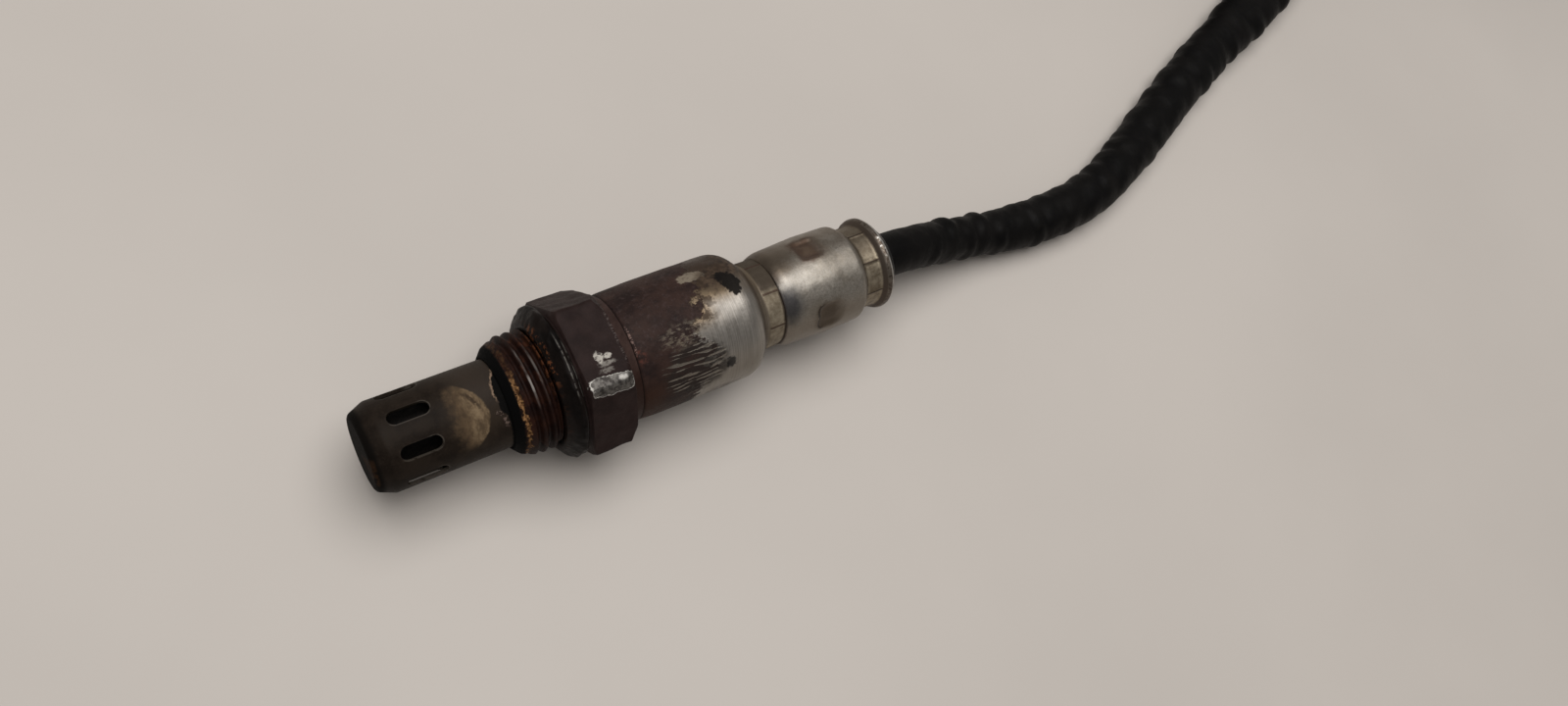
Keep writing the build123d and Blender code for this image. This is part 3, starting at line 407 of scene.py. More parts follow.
def shell_steel(name):
    """Rusted, oil-baked housing: brown thread, maroon hexagon, one corner worn to bright metal."""
    m = Skin(name, gloss=GRIMY)
    x = m.axis("X")
    turn = m.turn()
    grain = m.noise(0.3, 5, 0.7)
    cloud = m.noise(3.0, 5, 0.65, seed=1)
    hexagon = m.mix(m.step(cloud, 0.3, 0.7), (0.014, 0.008, 0.0073), (0.025, 0.0148, 0.0135))
    hexagon = m.mix(m.step(grain, 0.5, 0.85, 0, 0.45), hexagon, (0.042, 0.028, 0.025))
    thread = m.mix(m.step(cloud, 0.35, 0.65), (0.007, 0.0034, 0.003), (0.018, 0.0072, 0.005))
    rusty = m.noise(0.9, 4, 0.7, (1, 2.2, 2.2), seed=2)
    upper = m.step(turn, 104, 74)
    rusted = m.both(m.step(rusty, 0.5, 0.66), m.scaled(upper, 0.5, 0.3))
    thread = m.mix(rusted, thread, (0.05, 0.0165, 0.008))
    m.color = m.mix(m.step(x, 0.5, 1.5), thread, hexagon)
    # the collar behind the hexagon: rust-brown painted lighter than the casing's rust, as painted light where
    # the hexagon shades it; darker low down
    collar = m.step(x, 10.28, 10.34)
    collar_color = m.mix(m.step(cloud, 0.35, 0.65), (0.038, 0.023, 0.02), (0.064, 0.039, 0.033))
    collar_color = m.mix(m.step(turn, 108, 132), collar_color, (0.029, 0.0145, 0.011))
    m.paint(collar_color, collar)
    # soot on the nose, orange crumbs where the thread begins and beside the gasket
    nose = m.step(m.scaled(m.noise(1.5, 4, 0.7, seed=3), 0.7, x), -4.9, -5.3)
    m.paint((0.0018, 0.0018, 0.0018), nose)
    start = m.off(x, m.scaled(m.noise(1.6, 3, 0.55, seed=4), 0.7, -5.4))
    width = m.step(m.noise(0.9, seed=5), 0.38, 0.6, 0.06, 0.44)
    crumbs = m.both(m.step(m.minus(start, width), 0.1, -0.04), m.step(turn, 76, 100, 0.12, 1))
    crumb_color = m.mix(m.step(m.noise(0.6, seed=17), 0.42, 0.62), (0.065, 0.03, 0.012), (0.3, 0.16, 0.068))
    m.paint(crumb_color, crumbs, 0.92)
    beside = m.both(m.near(x, -0.25, 0.4, 0.15), m.step(m.noise(0.8, 3, 0.55, seed=6), 0.46, 0.56))
    beside = m.both(beside, m.near(turn, 80, 45, 20, 0.15))
    m.paint((0.088, 0.031, 0.013), beside, 0.75)
    # painted highlights along the crests, the second one most
    radial = m.math("SQRT", m.plus(m.power(m.axis("Y"), 2), m.power(m.axis("Z"), 2)))
    crest = m.both(m.step(radial, 8.88, 8.98), m.step(x, -0.7, -1.0))
    crest = m.both(m.step(turn, 56, 70), m.step(turn, 126, 110), crest)
    glare = m.both(m.near(turn, 100, 11, 4), m.step(x, -2.2, -2.6))
    dull = m.step(m.noise(2.4, 3, 0.6, (0.5, 1.5, 1.5), seed=7), 0.4, 0.6, 0.05, 0.35)
    crest = m.both(crest, m.either(glare, dull))
    m.paint((0.22, 0.2, 0.185), crest)
    # the worn corner: mottled grey metal inside a bright angular border
    far_x = m.both(m.off(x, 7.05), 1 / 3.35)
    lean = m.scaled(x, 0.35, 118.0)
    far_turn = m.both(m.off(turn, lean), 1 / 6.8)
    far = m.power(m.plus(m.power(far_x, 4), m.power(far_turn, 4)), 0.25)
    far = m.scaled(m.noise(1.5, seed=8), 0.6, m.minus(far, 0.3))
    patch = m.step(far, 1.03, 0.97)
    inside = m.step(m.scaled(m.noise(0.7, seed=9), 0.3, far), 1.13, 1.06)
    bare = m.mix(
        m.step(m.noise(0.8, 4, 0.7, seed=10), 0.38, 0.62), (0.034, 0.03, 0.028), (0.135, 0.126, 0.116)
    )
    shade = m.mix(m.step(m.noise(0.4, 3, 0.55, seed=11), 0.3, 0.55), (0.2, 0.185, 0.17), (0.46, 0.44, 0.41))
    m.paint(m.mix(inside, shade, bare), patch)
    # a painted glint on the worn corner
    glint = m.both(patch, m.blob((8.6, 117, 12.5), 1.3, 0.8, 1.0, 0.8, 0.5, seed=12))
    m.paint((0.5, 0.48, 0.45), glint, 0.6)
    # small scuffs on the upper flat, and along the hexagon's rear edge
    scuff = m.blob((6.5, 100, 11.2), 1.3, 1.7, 0.4, 0.9, 0.7, seed=14)
    scuff = m.either(scuff, m.blob((7.8, 101, 11.2), 1.1, 0.8, 0.5, 0.9, 0.5, seed=15))
    scuff = m.either(scuff, m.both(m.blob((7.2, 106, 11.3), 2.6, 0.8, 0.6, 0.9, 0.6, seed=18), 0.6))
    scuff = m.either(scuff, m.both(m.blob((6.8, 110.5, 11.6), 2.4, 0.8, 0.6, 0.9, 0.6, seed=19), 0.45))
    scuff = m.both(scuff, m.step(m.noise(0.8, 3, 0.65, (1.0, 0.6, 0.6), seed=20), 0.34, 0.5))
    m.paint((0.31, 0.29, 0.26), scuff, 0.85)
    chips = m.step(m.noise(0.42, 3, 0.6, (1.0, 0.6, 0.6), seed=13), 0.5, 0.6)
    chips = m.both(m.near(x, 10.15, 0.34, 0.1), chips, m.near(turn, 86, 32, 20))
    m.paint((0.2, 0.165, 0.15), chips, 0.3)
    worn = m.either(patch, scuff)
    m.raise_by(grain, 0.04)
    m.raise_by(m.noise(1.2, 4, seed=16), 0.06)
    m.raise_by(crumbs, 0.2)
    m.raise_by(beside, 0.16)
    m.raise_by(patch, -0.1)
    rough = m.minus(m.step(grain, 0.3, 0.8, 0.44, 0.62), m.both(worn, 0.06))
    rough = m.plus(rough, m.both(nose, 0.3))
    metal = m.math("MULTIPLY", worn, 0.55, clamp=True)
    return m.done(rough, metal)


def gasket_steel(name):
    """Oily black sealing ring with rust crumbs on its front and two painted highlight lines."""
    m = Skin(name, gloss=GRIMY)
    x = m.axis("X")
    turn = m.turn()
    grain = m.noise(0.4, 5, 0.7)
    cloud = m.noise(2.5, 4, 0.6, (0.6, 1.6, 1.6), seed=1)
    m.color = m.mix(m.step(cloud, 0.35, 0.65), (0.003, 0.0022, 0.002), (0.0085, 0.0058, 0.0048))
    rust = m.both(m.step(x, 0.7, 0.3), m.step(m.noise(0.9, seed=2), 0.5, 0.6), m.near(turn, 78, 36, 24, 0.1))
    m.paint((0.115, 0.04, 0.016), rust, 0.8)
    # painted highlights: two light lines round the ring's crown
    highlight_lines = m.either(m.near(x, 1.95, 0.14, 0.04), m.near(x, 2.6, 0.11, 0.03))
    highlight_lines = m.both(highlight_lines, m.near(turn, 98, 30, 12), m.step(m.noise(1.1, seed=4), 0.36, 0.56))
    m.paint((0.15, 0.14, 0.125), highlight_lines, 0.8)
    m.raise_by(grain, 0.04)
    m.raise_by(rust, 0.15)
    m.raise_by(m.noise(1.6, 3, 0.5, seed=3), 0.12)
    return m.done(m.step(grain, 0.3, 0.8, 0.36, 0.54))


def casing_steel(name):
    """Front casing: rust-brown by the hexagon, brushed bright towards the shoulder, with scorch spots."""
    m = Skin(name, gloss=0.1)
    x = m.axis("X")
    turn = m.turn()
    rings = m.noise(0.16, 3, 0.6, (1, 40, 40), seed=1)
    grain = m.noise(0.4, 5, 0.7, seed=2)
    cloud = m.noise(4.0, 5, 0.65, (1.4, 1, 1), seed=3)
    rags = m.noise(1.5, 5, 0.7, (1.5, 1, 1), seed=5)
    # brushed metal: gold with brown rags on the upper side, dull low down
    bright = m.mix(m.step(rings, 0.3, 0.7), (0.232, 0.212, 0.188), (0.335, 0.311, 0.283))
    gold = m.either(m.step(turn, 98, 82), m.both(m.step(turn, 114, 98), m.step(x, 27.5, 24.0)))
    bright = m.cover(bright, (0.125, 0.088, 0.052), gold, m.step(x, 31.0, 28.5, 0.55, 0.92))
    dull = m.step(turn, 124, 160)
    bright = m.cover(bright, (0.15, 0.134, 0.11), dull, 0.6)
    high = m.step(turn, 84, 62)
    bright = m.cover(bright, (0.07, 0.048, 0.031), high, 0.8)
    bright = m.cover(bright, (0.034, 0.023, 0.016), m.step(turn, 66, 52), 0.85)
    rag_reach = m.scaled(high, 5.0, 27.5)
    dark_rag = m.both(gold, m.step(m.minus(x, rag_reach), 1.0, -1.5))
    dark_rag = m.both(dark_rag, m.step(m.scaled(high, 0.07, m.noise(1.3, 5, 0.7, seed=18)), 0.48, 0.54))
    bright = m.cover(bright, (0.034, 0.021, 0.014), dark_rag, 0.8)
    # rust-brown skin
    rust = m.mix(m.step(cloud, 0.35, 0.65), (0.0155, 0.0088, 0.008), (0.036, 0.0195, 0.0155))
    rust = m.mix(m.step(m.noise(1.3, 4, 0.7, seed=4), 0.5, 0.75, 0, 0.6), rust, (0.0105, 0.0075, 0.0078))
    low_red = m.both(m.step(x, 17.5, 13.0), m.step(turn, 128, 156))
    rust = m.mix(low_red, rust, (0.032, 0.0135, 0.008))
    speckle = m.step(m.noise(0.7, 5, 0.7, seed=26), 0.5, 0.7, 0, 0.5)
    rust = m.cover(rust, (0.06, 0.041, 0.04), speckle, m.step(turn, 130, 112))
    # its ragged end
    edge = m.step(turn, 60, 84, 26.0, 23.6)
    edge = m.minus(edge, m.step(turn, 94, 104, 0, 1.6))
    edge = m.plus(edge, m.step(turn, 114, 124, 0, 1.8))
    edge = m.minus(edge, m.step(turn, 146, 160, 0, 2.6))
    ragged = m.scaled(rags, 12.0, -6.0)
    bare = m.step(m.plus(m.minus(x, edge), ragged), -0.35, 0.6)
    back_side = m.step(m.off(turn, 108), 62, 80)
    bare = m.both(bare, m.outside(m.both(back_side, m.step(cloud, 0.42, 0.62))))
    m.color = m.mix(bare, rust, bright)
    # long thin scratches low on the side, with dark grime between them
    arc = m.scaled(m.noise(2.6, 2, 0.5, (3.5, 1, 1), seed=6), 2.4, m.arc(turn, CASING_R))
    gap = m.off(m.math("MODULO", arc, 0.85), 0.425)
    zone = m.blob((21.0, 141, CASING_R), 10.5, 8.6, 0.35, 0.35, 1.6, seed=7)
    grime = m.both(zone, m.step(m.noise(1.6, 4, 0.7, (1.6, 1, 1), seed=19), 0.36, 0.5, 0.35, 1))
    m.paint((0.019, 0.0145, 0.0125), grime, 0.8)
    breaks = m.noise(1.1, 3, 0.6, (3.2, 0.7, 0.7), seed=20)
    width = m.step(breaks, 0.42, 0.62, 0.0, 0.22)
    streaks = m.both(zone, m.step(m.minus(gap, width), 0.04, -0.06))
    m.paint((0.24, 0.212, 0.178), streaks, 0.85)
    # pale rubbed places
    rub = m.noise(0.6, 4, 0.75, (2.0, 1, 1), seed=8)
    pale = m.both(m.blob((20.0, 106.5, CASING_R), 7.0, 3.4, 0.9, 0.5, 0.9, seed=9), m.step(rub, 0.47, 0.62))
    high_pale = m.blob((25.3, 58.5, CASING_R), 4.6, 2.1, 0.25, 0.75, 0.8, seed=10)
    pale = m.either(m.both(pale, 0.6), m.both(high_pale, m.step(rub, 0.3, 0.44, 0.35, 1)))
    m.paint((0.22, 0.185, 0.14), pale, 0.8)
    # light scratches and a red spot beside the seam
    seam = m.both(m.near(x, 12.35, 0.3, 0.1), m.near(turn, 97, 16, 10))
    seam = m.both(seam, m.step(m.noise(0.42, 3, 0.6, (1, 0.7, 0.7), seed=11), 0.48, 0.56))
    m.paint((0.25, 0.165, 0.14), seam, 0.7)
    red = m.blob((12.9, 112, 10.0), 1.5, 2.6, 0.9, 0.7, 0.6, seed=21)
    red = m.both(red, m.step(m.noise(0.9, seed=22), 0.42, 0.6))
    m.paint((0.12, 0.04, 0.028), red, 0.6)
    # scorch spots, the smoke round the large one, the browned shoulder groove and the tan neck
    smoke = m.blob((28.3, 68, CASING_R), 4.6, 5.0, 0.9, 0.8, 1.2, seed=14)
    smoke = m.either(m.both(smoke, 0.85), m.both(m.step(turn, 92, 64), m.step(x, 29.8, 31.8)))
    sooty = m.mix(
        m.step(m.noise(1.0, 4, 0.65, seed=23), 0.38, 0.62), (0.02, 0.014, 0.011), (0.074, 0.05, 0.034)
    )
    m.paint(sooty, smoke, 0.85)
    spot = m.blob((30.4, 79, CASING_R), 2.7, 4.0, 0.2, 0.8, 1.0, seed=12)
    spot = m.either(spot, m.blob((29.5, 70, CASING_R), 2.2, 1.9, 0.5, 0.8, 0.7, seed=24))
    spot = m.either(spot, m.both(m.blob((26.6, 146, CASING_R), 1.9, 1.9, 0.5, 1.0, 0.7, seed=13), 0.9))
    m.paint((0.0055, 0.0045, 0.0042), spot, 0.96)
    groove = m.mix(m.step(x, 34.0, 34.7), (0.048, 0.033, 0.022), (0.11, 0.086, 0.06))
    shoulder = m.step(x, SHOULDER_X, 33.7)
    m.paint(groove, shoulder, m.step(cloud, 0.2, 0.7, 0.75, 0.95))
    neck = m.mix(m.step(m.noise(0.9, 4, seed=15), 0.3, 0.7), (0.14, 0.112, 0.078), (0.25, 0.212, 0.156))
    neck = m.cover(neck, (0.04, 0.03, 0.022), m.step(turn, 100, 89), 0.9)
    band = m.step(x, 35.45, 35.7)
    m.paint(neck, band)
    jaw = m.from_mark(turn, NECK_JAW_TURN, JAW_PITCH)
    jaw_line = m.both(m.step(m.math("ABSOLUTE", jaw), 1.9, 0.8), band)
    m.paint((0.045, 0.025, 0.018), jaw_line, 0.85)
    last = m.both(m.step(x, 38.0, 38.25), m.step(turn, 97, 103))
    m.paint((0.04, 0.028, 0.021), last, 0.75)
    joint = m.near(x, CASING_X, 0.2, 0.05)
    m.paint((0.012, 0.009, 0.008), joint, 0.7)
    m.raise_by(m.both(rings, bare), 0.018)
    m.raise_by(m.both(grain, m.outside(bare)), 0.06)
    m.raise_by(bare, -0.03)
    m.raise_by(streaks, -0.04)
    m.raise_by(m.noise(5.0, 2, 0.5, seed=16), 0.2)
    clean = m.both(m.either(bare, streaks, band), m.outside(m.either(spot, m.both(smoke, 0.8))))
    rough = m.minus(m.step(grain, 0.3, 0.8, 0.5, 0.68), m.both(clean, 0.2))
    rough = m.plus(rough, m.both(spot, 0.25))
    dull_part = m.either(m.both(dark_rag, 0.8, bare), m.both(shoulder, 0.5))
    metal = m.math("MULTIPLY", m.both(clean, m.outside(dull_part)), 0.85, clamp=True)
    rough = m.plus(rough, m.both(band, 0.12))
    return m.done(rough, metal)


def sleeve_steel(name):
    """Rear sleeve: satin metal, browned in the dimples and crimps, with a rolled rim; painted shade in the
    dimples, on its lower side and on the rim's face, painted highlights on the barrel and the rim.
    """
    m = Skin(name)
    x = m.axis("X")
    turn = m.turn()
    grain = m.noise(0.28, 4, 0.75, seed=2)
    brushed = m.noise(0.5, 4, 0.7, (0.7, 2.5, 2.5), seed=1)
    cloud = m.noise(3.6, 4, seed=3)
    m.color = m.mix(m.step(grain, 0.3, 0.7), (0.225, 0.202, 0.172), (0.345, 0.318, 0.281))
    m.paint((0.2, 0.172, 0.138), m.step(brushed, 0.45, 0.7, 0, 0.35))
    m.paint((0.185, 0.152, 0.112), m.step(cloud, 0.4, 0.75, 0, 0.5))
    brown = m.both(m.step(turn, 95, 76), m.step(x, 46.0, 38.8))
    m.paint((0.088, 0.064, 0.044), brown, 0.85)
    brown = m.both(m.step(turn, 98, 90), m.step(x, 40.2, 38.6))
    m.paint((0.045, 0.034, 0.026), brown, 0.85)
    tops = m.both(m.step(turn, 88, 62), m.step(m.noise(2.2, 4, seed=11), 0.35, 0.6, 0.4, 1))
    m.paint((0.13, 0.102, 0.075), tops, 0.6)
    # a painted highlight on the barrel's front, where it slopes towards the lamp
    barrel_highlight = m.both(m.blob((41.6, 97, 7.9), 5.5, 3.2, 1.4, 0.3, 1.2, seed=13), m.step(grain, 0.3, 0.6, 0.5, 1))
    m.paint((0.46, 0.435, 0.4), barrel_highlight, 0.3)
    # painted shade: the lower side darker
    low = m.step(turn, 122, 160)
    m.paint((0.135, 0.112, 0.088), low, 0.65)
    # dimples: rounded squares, brown inside and darkened as painted shade, with a painted shadow on the lower
    # one's front wall; a painted highlight at the upper one's centre, a darker centre in the lower one
    across = m.arc(m.from_mark(turn, DIMPLE_TURN, DIMPLE_PITCH), SLEEVE_R)
    along = m.minus(x, DIMPLE_X)
    square = m.plus(m.power(m.math("ABSOLUTE", along), 4), m.power(m.math("ABSOLUTE", across), 4))
    wavy = m.scaled(m.noise(1.4, 4, seed=4), 1.8, -0.9)
    reach = m.plus(m.power(square, 0.25), wavy)
    inside = m.both(m.step(reach, 3.35, 2.05), m.step(along, 2.6, 0.6, 0.35, 1))
    # brown inside the dimples, darkened as painted shade
    top_one = m.step(turn, 100, 92)
    hollow = m.mix(top_one, (0.084, 0.062, 0.043), (0.088, 0.05, 0.033))
    m.paint(hollow, inside, 0.85)
    # painted shadow along the lower dimple's front wall
    wall_shadow = m.both(m.near(reach, 2.25, 0.34, 0.12), m.step(along, -0.9, -1.9), m.step(turn, 96, 104))
    m.paint((0.026, 0.019, 0.014), wall_shadow, 0.85)
    # painted highlight at the upper dimple's centre, darker at the lower one's
    dot = m.step(m.plus(reach, m.both(wavy, 0.8)), 1.5, 0.5)
    m.paint(m.mix(top_one, (0.062, 0.046, 0.034), (0.19, 0.14, 0.098)), dot, 0.4)
    # dark smudge behind the neck, tan crimp with dark jaw lines
    smudge = m.blob((39.2, 121, 7.6), 4.6, 5.6, 1.2, 0.35, 1.4, seed=6)
    m.paint((0.034, 0.034, 0.04), smudge, 0.85)
    front = m.both(m.step(x, 38.75, 38.45), m.step(turn, 97, 103))
    m.paint((0.045, 0.032, 0.026), front, 0.75)
    tan = m.both(m.step(x, 54.0, 54.4), m.step(x, 57.7, 57.4))
    crimp = m.mix(
        m.step(m.noise(1.2, 4, 0.65, seed=12), 0.34, 0.66), (0.135, 0.104, 0.068), (0.29, 0.245, 0.18)
    )
    crimp = m.cover(crimp, (0.105, 0.082, 0.058), m.step(turn, 102, 80), 0.65)
    m.paint(crimp, tan, 0.92)
    jaw = m.from_mark(turn, REAR_JAW_TURN, JAW_PITCH)
    jaw_line = m.both(m.step(m.math("ABSOLUTE", jaw), 1.7, 0.7), tan)
    m.paint((0.042, 0.028, 0.021), jaw_line, 0.85)
    corner = m.near(x, 54.25, 0.28, 0.1)
    m.paint((0.06, 0.045, 0.034), corner, 0.6)
    # the rolled rim: brown face darkened as painted shade, spotted grey band, a painted highlight along its
    # thin edge and painted glints
    face = m.both(m.step(x, 57.35, 57.6), m.step(x, 58.3, 58.0))
    m.paint((0.066, 0.048, 0.037), face, 0.9)
    rim = m.step(x, 58.0, 58.25)
    spots = m.step(m.noise(0.8, 4, 0.7, seed=7), 0.42, 0.58)
    m.paint(m.mix(spots, (0.062, 0.046, 0.036), (0.15, 0.126, 0.104)), rim)
    # painted highlight along the rim's thin edge
    lip = m.both(m.near(x, 58.95, 0.2, 0.06), m.step(m.noise(1.5, 3, 0.55, seed=9), 0.3, 0.5, 0.35, 1))
    m.paint((0.52, 0.5, 0.47), lip)
    # painted glints on the rim
    glints = m.both(
        m.blob((58.6, 92, 7.7), 0.9, 3.4, 0.3, 0.6, 0.4, seed=14),
        m.step(m.noise(0.7, 3, 0.55, seed=15), 0.48, 0.6),
    )
    m.paint((0.68, 0.66, 0.62), glints, 0.9)
    m.raise_by(grain, 0.022)
    m.raise_by(m.noise(2.6, 2, 0.5, seed=8), 0.1)
    dirty = m.either(inside, tan, face, smudge)
    rough = m.plus(m.step(grain, 0.3, 0.8, 0.34, 0.48), m.both(dirty, 0.12))
    return m.done(rough, 0.86)


def rubber(name, low, high, rough=(0.42, 0.6), dust=0.0, gloss=0.3):
    """Black or coloured rubber, faintly mottled, with dust in its hollows."""
    m = Skin(name, gloss)
    cloud = m.noise(6.0, 4)
    grain = m.noise(0.5, 4, 0.7, seed=1)
    m.color = m.mix(m.step(cloud, 0.35, 0.7), low, high)
    if dust:
        dusty = m.step(m.noise(2.2, 5, 0.7, seed=2), 0.56, 0.75)
        m.paint((0.04, 0.03, 0.022), dusty, dust)
    m.raise_by(grain, 0.03)
    m.raise_by(m.noise(0.9, 3, 0.6, (0.8, 1.6, 1.6), seed=3), 0.05)
    return m.done(m.step(grain, 0.3, 0.75, *rough))


def plastic(name, low, high, rough=(0.36, 0.5)):
    m = Skin(name)
    pores = m.noise(0.22, 2, 0.5)
    cloud = m.noise(5.0, 4, seed=1)
    m.color = m.mix(m.step(cloud, 0.35, 0.7), low, high)
    scratch = m.step(m.noise(0.4, 3, 0.6, (12, 1, 1), seed=2), 0.66, 0.72)
    m.paint(tuple(min(1, c * 2 + 0.05) for c in high), scratch, 0.3)
    m.raise_by(pores, 0.02)
    return m.done(m.step(pores, 0.3, 0.7, *rough))


def metal(name, low, high, rough=(0.25, 0.42)):
    m = Skin(name)
    grain = m.noise(0.5, 5, 0.65)
    m.color = m.mix(m.step(grain, 0.3, 0.7), low, high)
    m.raise_by(grain, 0.015)
    return m.done(m.step(m.noise(1.6, seed=1), 0.3, 0.7, *rough), 0.9)


def ceramic(name, low, high):
    m = Skin(name)
    grain = m.noise(0.3, 4, 0.7)
    m.color = m.mix(m.step(m.noise(2.0, 4, seed=1), 0.3, 0.7), low, high)
    m.raise_by(grain, 0.03)
    return m.done(m.step(grain, 0.3, 0.7, 0.5, 0.75))


def wires(name, first, second):
    """Insulated wires in two colours, told apart by their height."""
    m = Skin(name)
    sheen = m.noise(0.6, 3, 0.6, (6, 1, 1))
    upper = m.step(m.axis("Z"), -5.6, -5.2)
    m.color = m.mix(upper, first, second)
    m.paint((0.08, 0.07, 0.06), m.step(sheen, 0.5, 0.75, 0, 0.25))
    m.raise_by(sheen, 0.02)
    return m.done(m.step(sheen, 0.3, 0.7, 0.34, 0.48))


# How each slot's material is made: the function and what it takes after the name
MAKERS = {
    "tube_steel": (tube_steel,),
    "shell_steel": (shell_steel,),
    "gasket_steel": (gasket_steel,),
    "casing_steel": (casing_steel,),
    "sleeve_steel": (sleeve_steel,),
    "inner_tube_steel": (metal, (0.0035, 0.0030, 0.0028), (0.009, 0.0075, 0.0065), (0.55, 0.7)),
    "packing_steel": (metal, (0.20, 0.18, 0.15), (0.34, 0.31, 0.27)),
    "contact_alloy": (metal, (0.34, 0.26, 0.14), (0.52, 0.42, 0.25)),
    "spring_steel": (metal, (0.25, 0.23, 0.20), (0.42, 0.40, 0.36)),
    "terminal_alloy": (metal, (0.38, 0.36, 0.32), (0.56, 0.54, 0.50)),
    "pin_plating": (metal, (0.42, 0.40, 0.36), (0.62, 0.60, 0.55), (0.2, 0.34)),
    "zirconia": (ceramic, (0.36, 0.33, 0.28), (0.52, 0.49, 0.43)),
    "heater_ceramic": (ceramic, (0.42, 0.41, 0.38), (0.58, 0.57, 0.53)),
    "talc": (ceramic, (0.40, 0.39, 0.36), (0.55, 0.54, 0.50)),
    "support_ceramic": (ceramic, (0.44, 0.42, 0.38), (0.60, 0.58, 0.53)),
    "holder_ceramic": (ceramic, (0.46, 0.45, 0.42), (0.62, 0.61, 0.57)),
    "signal_wire": (wires, (0.012, 0.012, 0.012), (0.16, 0.16, 0.155)),
    "heater_wire": (wires, (0.42, 0.41, 0.38), (0.48, 0.47, 0.44)),
    "tail_wire": (wires, (0.44, 0.43, 0.40), (0.018, 0.018, 0.018)),
    "grommet_rubber": (rubber, (0.006, 0.006, 0.006), (0.016, 0.015, 0.014), (0.34, 0.5)),
    "lead_rubber": (rubber, (0.0024, 0.0022, 0.0022), (0.0049, 0.0043, 0.0040), (0.44, 0.58), 0.05, 0.07),
    "tie_plastic": (plastic, (0.010, 0.010, 0.010), (0.022, 0.022, 0.021)),
    "connector_plastic": (plastic, (0.016, 0.016, 0.017), (0.034, 0.034, 0.035)),
    "lock_plastic": (plastic, (0.20, 0.21, 0.22), (0.28, 0.29, 0.30)),
    "seal_rubber": (rubber, (0.28, 0.075, 0.035), (0.36, 0.10, 0.045), (0.4, 0.55)),
}


# ---- meshes


def add_mesh(name, verts, faces, materials, slot):
    """A smooth mesh piece from points in mm, which rides on the one body."""
    data = bpy.data.meshes.new(name)
    data.from_pydata([tuple(c * MM for c in v) for v in verts], [], faces)
    data.validate()
    bm = bmesh.new()
    bm.from_mesh(data)
    bmesh.ops.recalc_face_normals(bm, faces=bm.faces)
    bm.to_mesh(data)
    bm.free()
    data.shade_smooth()
    data.materials.append(materials[slot])
    piece = link(bpy.data.objects.new(name, data))
    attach(piece, "root")
    return piece


def bands(rings, count, closed):
    """The faces between rings of count points each. A closed skin's last ring meets its first."""
    faces = []
    for k in range(rings if closed else rings - 1):
        a = k * count
        b = (k + 1) % rings * count
        for i in range(count):
            j = (i + 1) % count
            faces.append((a + i, a + j, b + j, b + i))
    return faces


def add_turned(name, rings, count, materials, slot):
    """A closed skin round the axis, count points to a ring. Each ring is (x, radius at a turn)."""
    verts = []
    for x, radius_at in rings:
        for i in range(count):
            turn = 360 * i / count
            verts.append(on_skin(x, turn, radius_at(turn)))
    return add_mesh(name, verts, bands(len(rings), count, True), materials, slot)


def along_profile(profile, x):
    """The radius at x of a profile given as (x, radius)."""
    for (x0, r0), (x1, r1) in zip(profile, profile[1:]):
        if x0 <= x <= x1 and x1 > x0:
            return r0 + (r1 - r0) * (x - x0) / (x1 - x0)
    return profile[-1][1] if x > profile[-1][0] else profile[0][1]


def rounded(profile, x, width):
    """The profile's radius at x, averaged over width mm so that its corners are soft."""
    samples = 7
    places = (x + width * (k / (samples - 1) - 0.5) for k in range(samples))
    return sum(along_profile(profile, place) for place in places) / samples


def steps(start, end, gap):
    """Evenly spaced values from start to end, about gap apart."""
    count = max(1, round((end - start) / gap))
    return [start + (end - start) * i / count for i in range(count + 1)]


def plain(*places):
    """True circles, as rings, from (x, radius)."""
    return [(x, lambda turn, radius=radius: radius) for x, radius in places]


def shaped(radius_at, start, end, gap):
    """Rings from start to end whose radii radius_at(x) gives."""
    return [(x, radius_at(x)) for x in steps(start, end, gap)]


def hex_radius(turn):
    return HEX_FLAT_R / math.cos(math.radians(turn % 60 - 30))


def thread_radius(x, turn):
    """Radius of the right-hand thread, with its start cut away by the nose's slope."""
    crest = THREAD_CREST_X + THREAD_PITCH * (turn - THREAD_CREST_TURN) / 360
    away = abs(from_mark(x, crest, THREAD_PITCH))
    depth = (THREAD_R - THREAD_ROOT_R) * smooth(0.06, 0.66, away)
    rough = 0.05 * noise.noise(on_skin(x * 1.3, turn, 9))
    return THREAD_R - depth + rough


# Each skin's rings run backwards along its outside and forwards through its bore: (x, radius)
NOSE_PROFILE = [(NOSE_X, 6.95), (-5.55, 8.14), (-3.6, 9.0), (-0.35, 9.0), (0.0, 8.35)]
HEX_PROFILE = [(HEX_X, 12.25), (3.75, 12.6), (9.2, 12.6), (HEX_END, 11.5)]
NOSE_BORE = (NOSE_X, 6.69)
GASKET_SEAT = [(GASKET_T, 8.35), (GASKET_T, 10.55), (2.95, 10.6), (HEX_X, 10.6)]
SHELL_REAR = [(10.32, 11.0), (HEX_END, 9.8), (12.0, 9.8), (12.0, 9.35), (16.5, 9.35), (18.5, 7.3)]
SHELL_BORE = [
    (18.5, 5.3), (17.5, 5.3), (17.5, 6.3), (2.9, 6.3), (1.0, 4.4), (-4.6, 4.4), (-4.6, 7.4), (-5.6, 7.4),
    (-5.6, 6.69),
]


def shell_ring(x):
    """Outer radius of the threaded and hexagonal parts at x."""
    if x <= 0:
        limit = along_profile(NOSE_PROFILE, x)
        return lambda turn: min(limit, thread_radius(x, turn))
    limit = along_profile(HEX_PROFILE, x)

    def radius(turn):
        dent = 0.10 * noise.noise(on_skin(x, turn, 11) * 0.5) * smooth(HEX_X, 4.4, x)
        return min(limit, hex_radius(turn)) + dent

    return radius


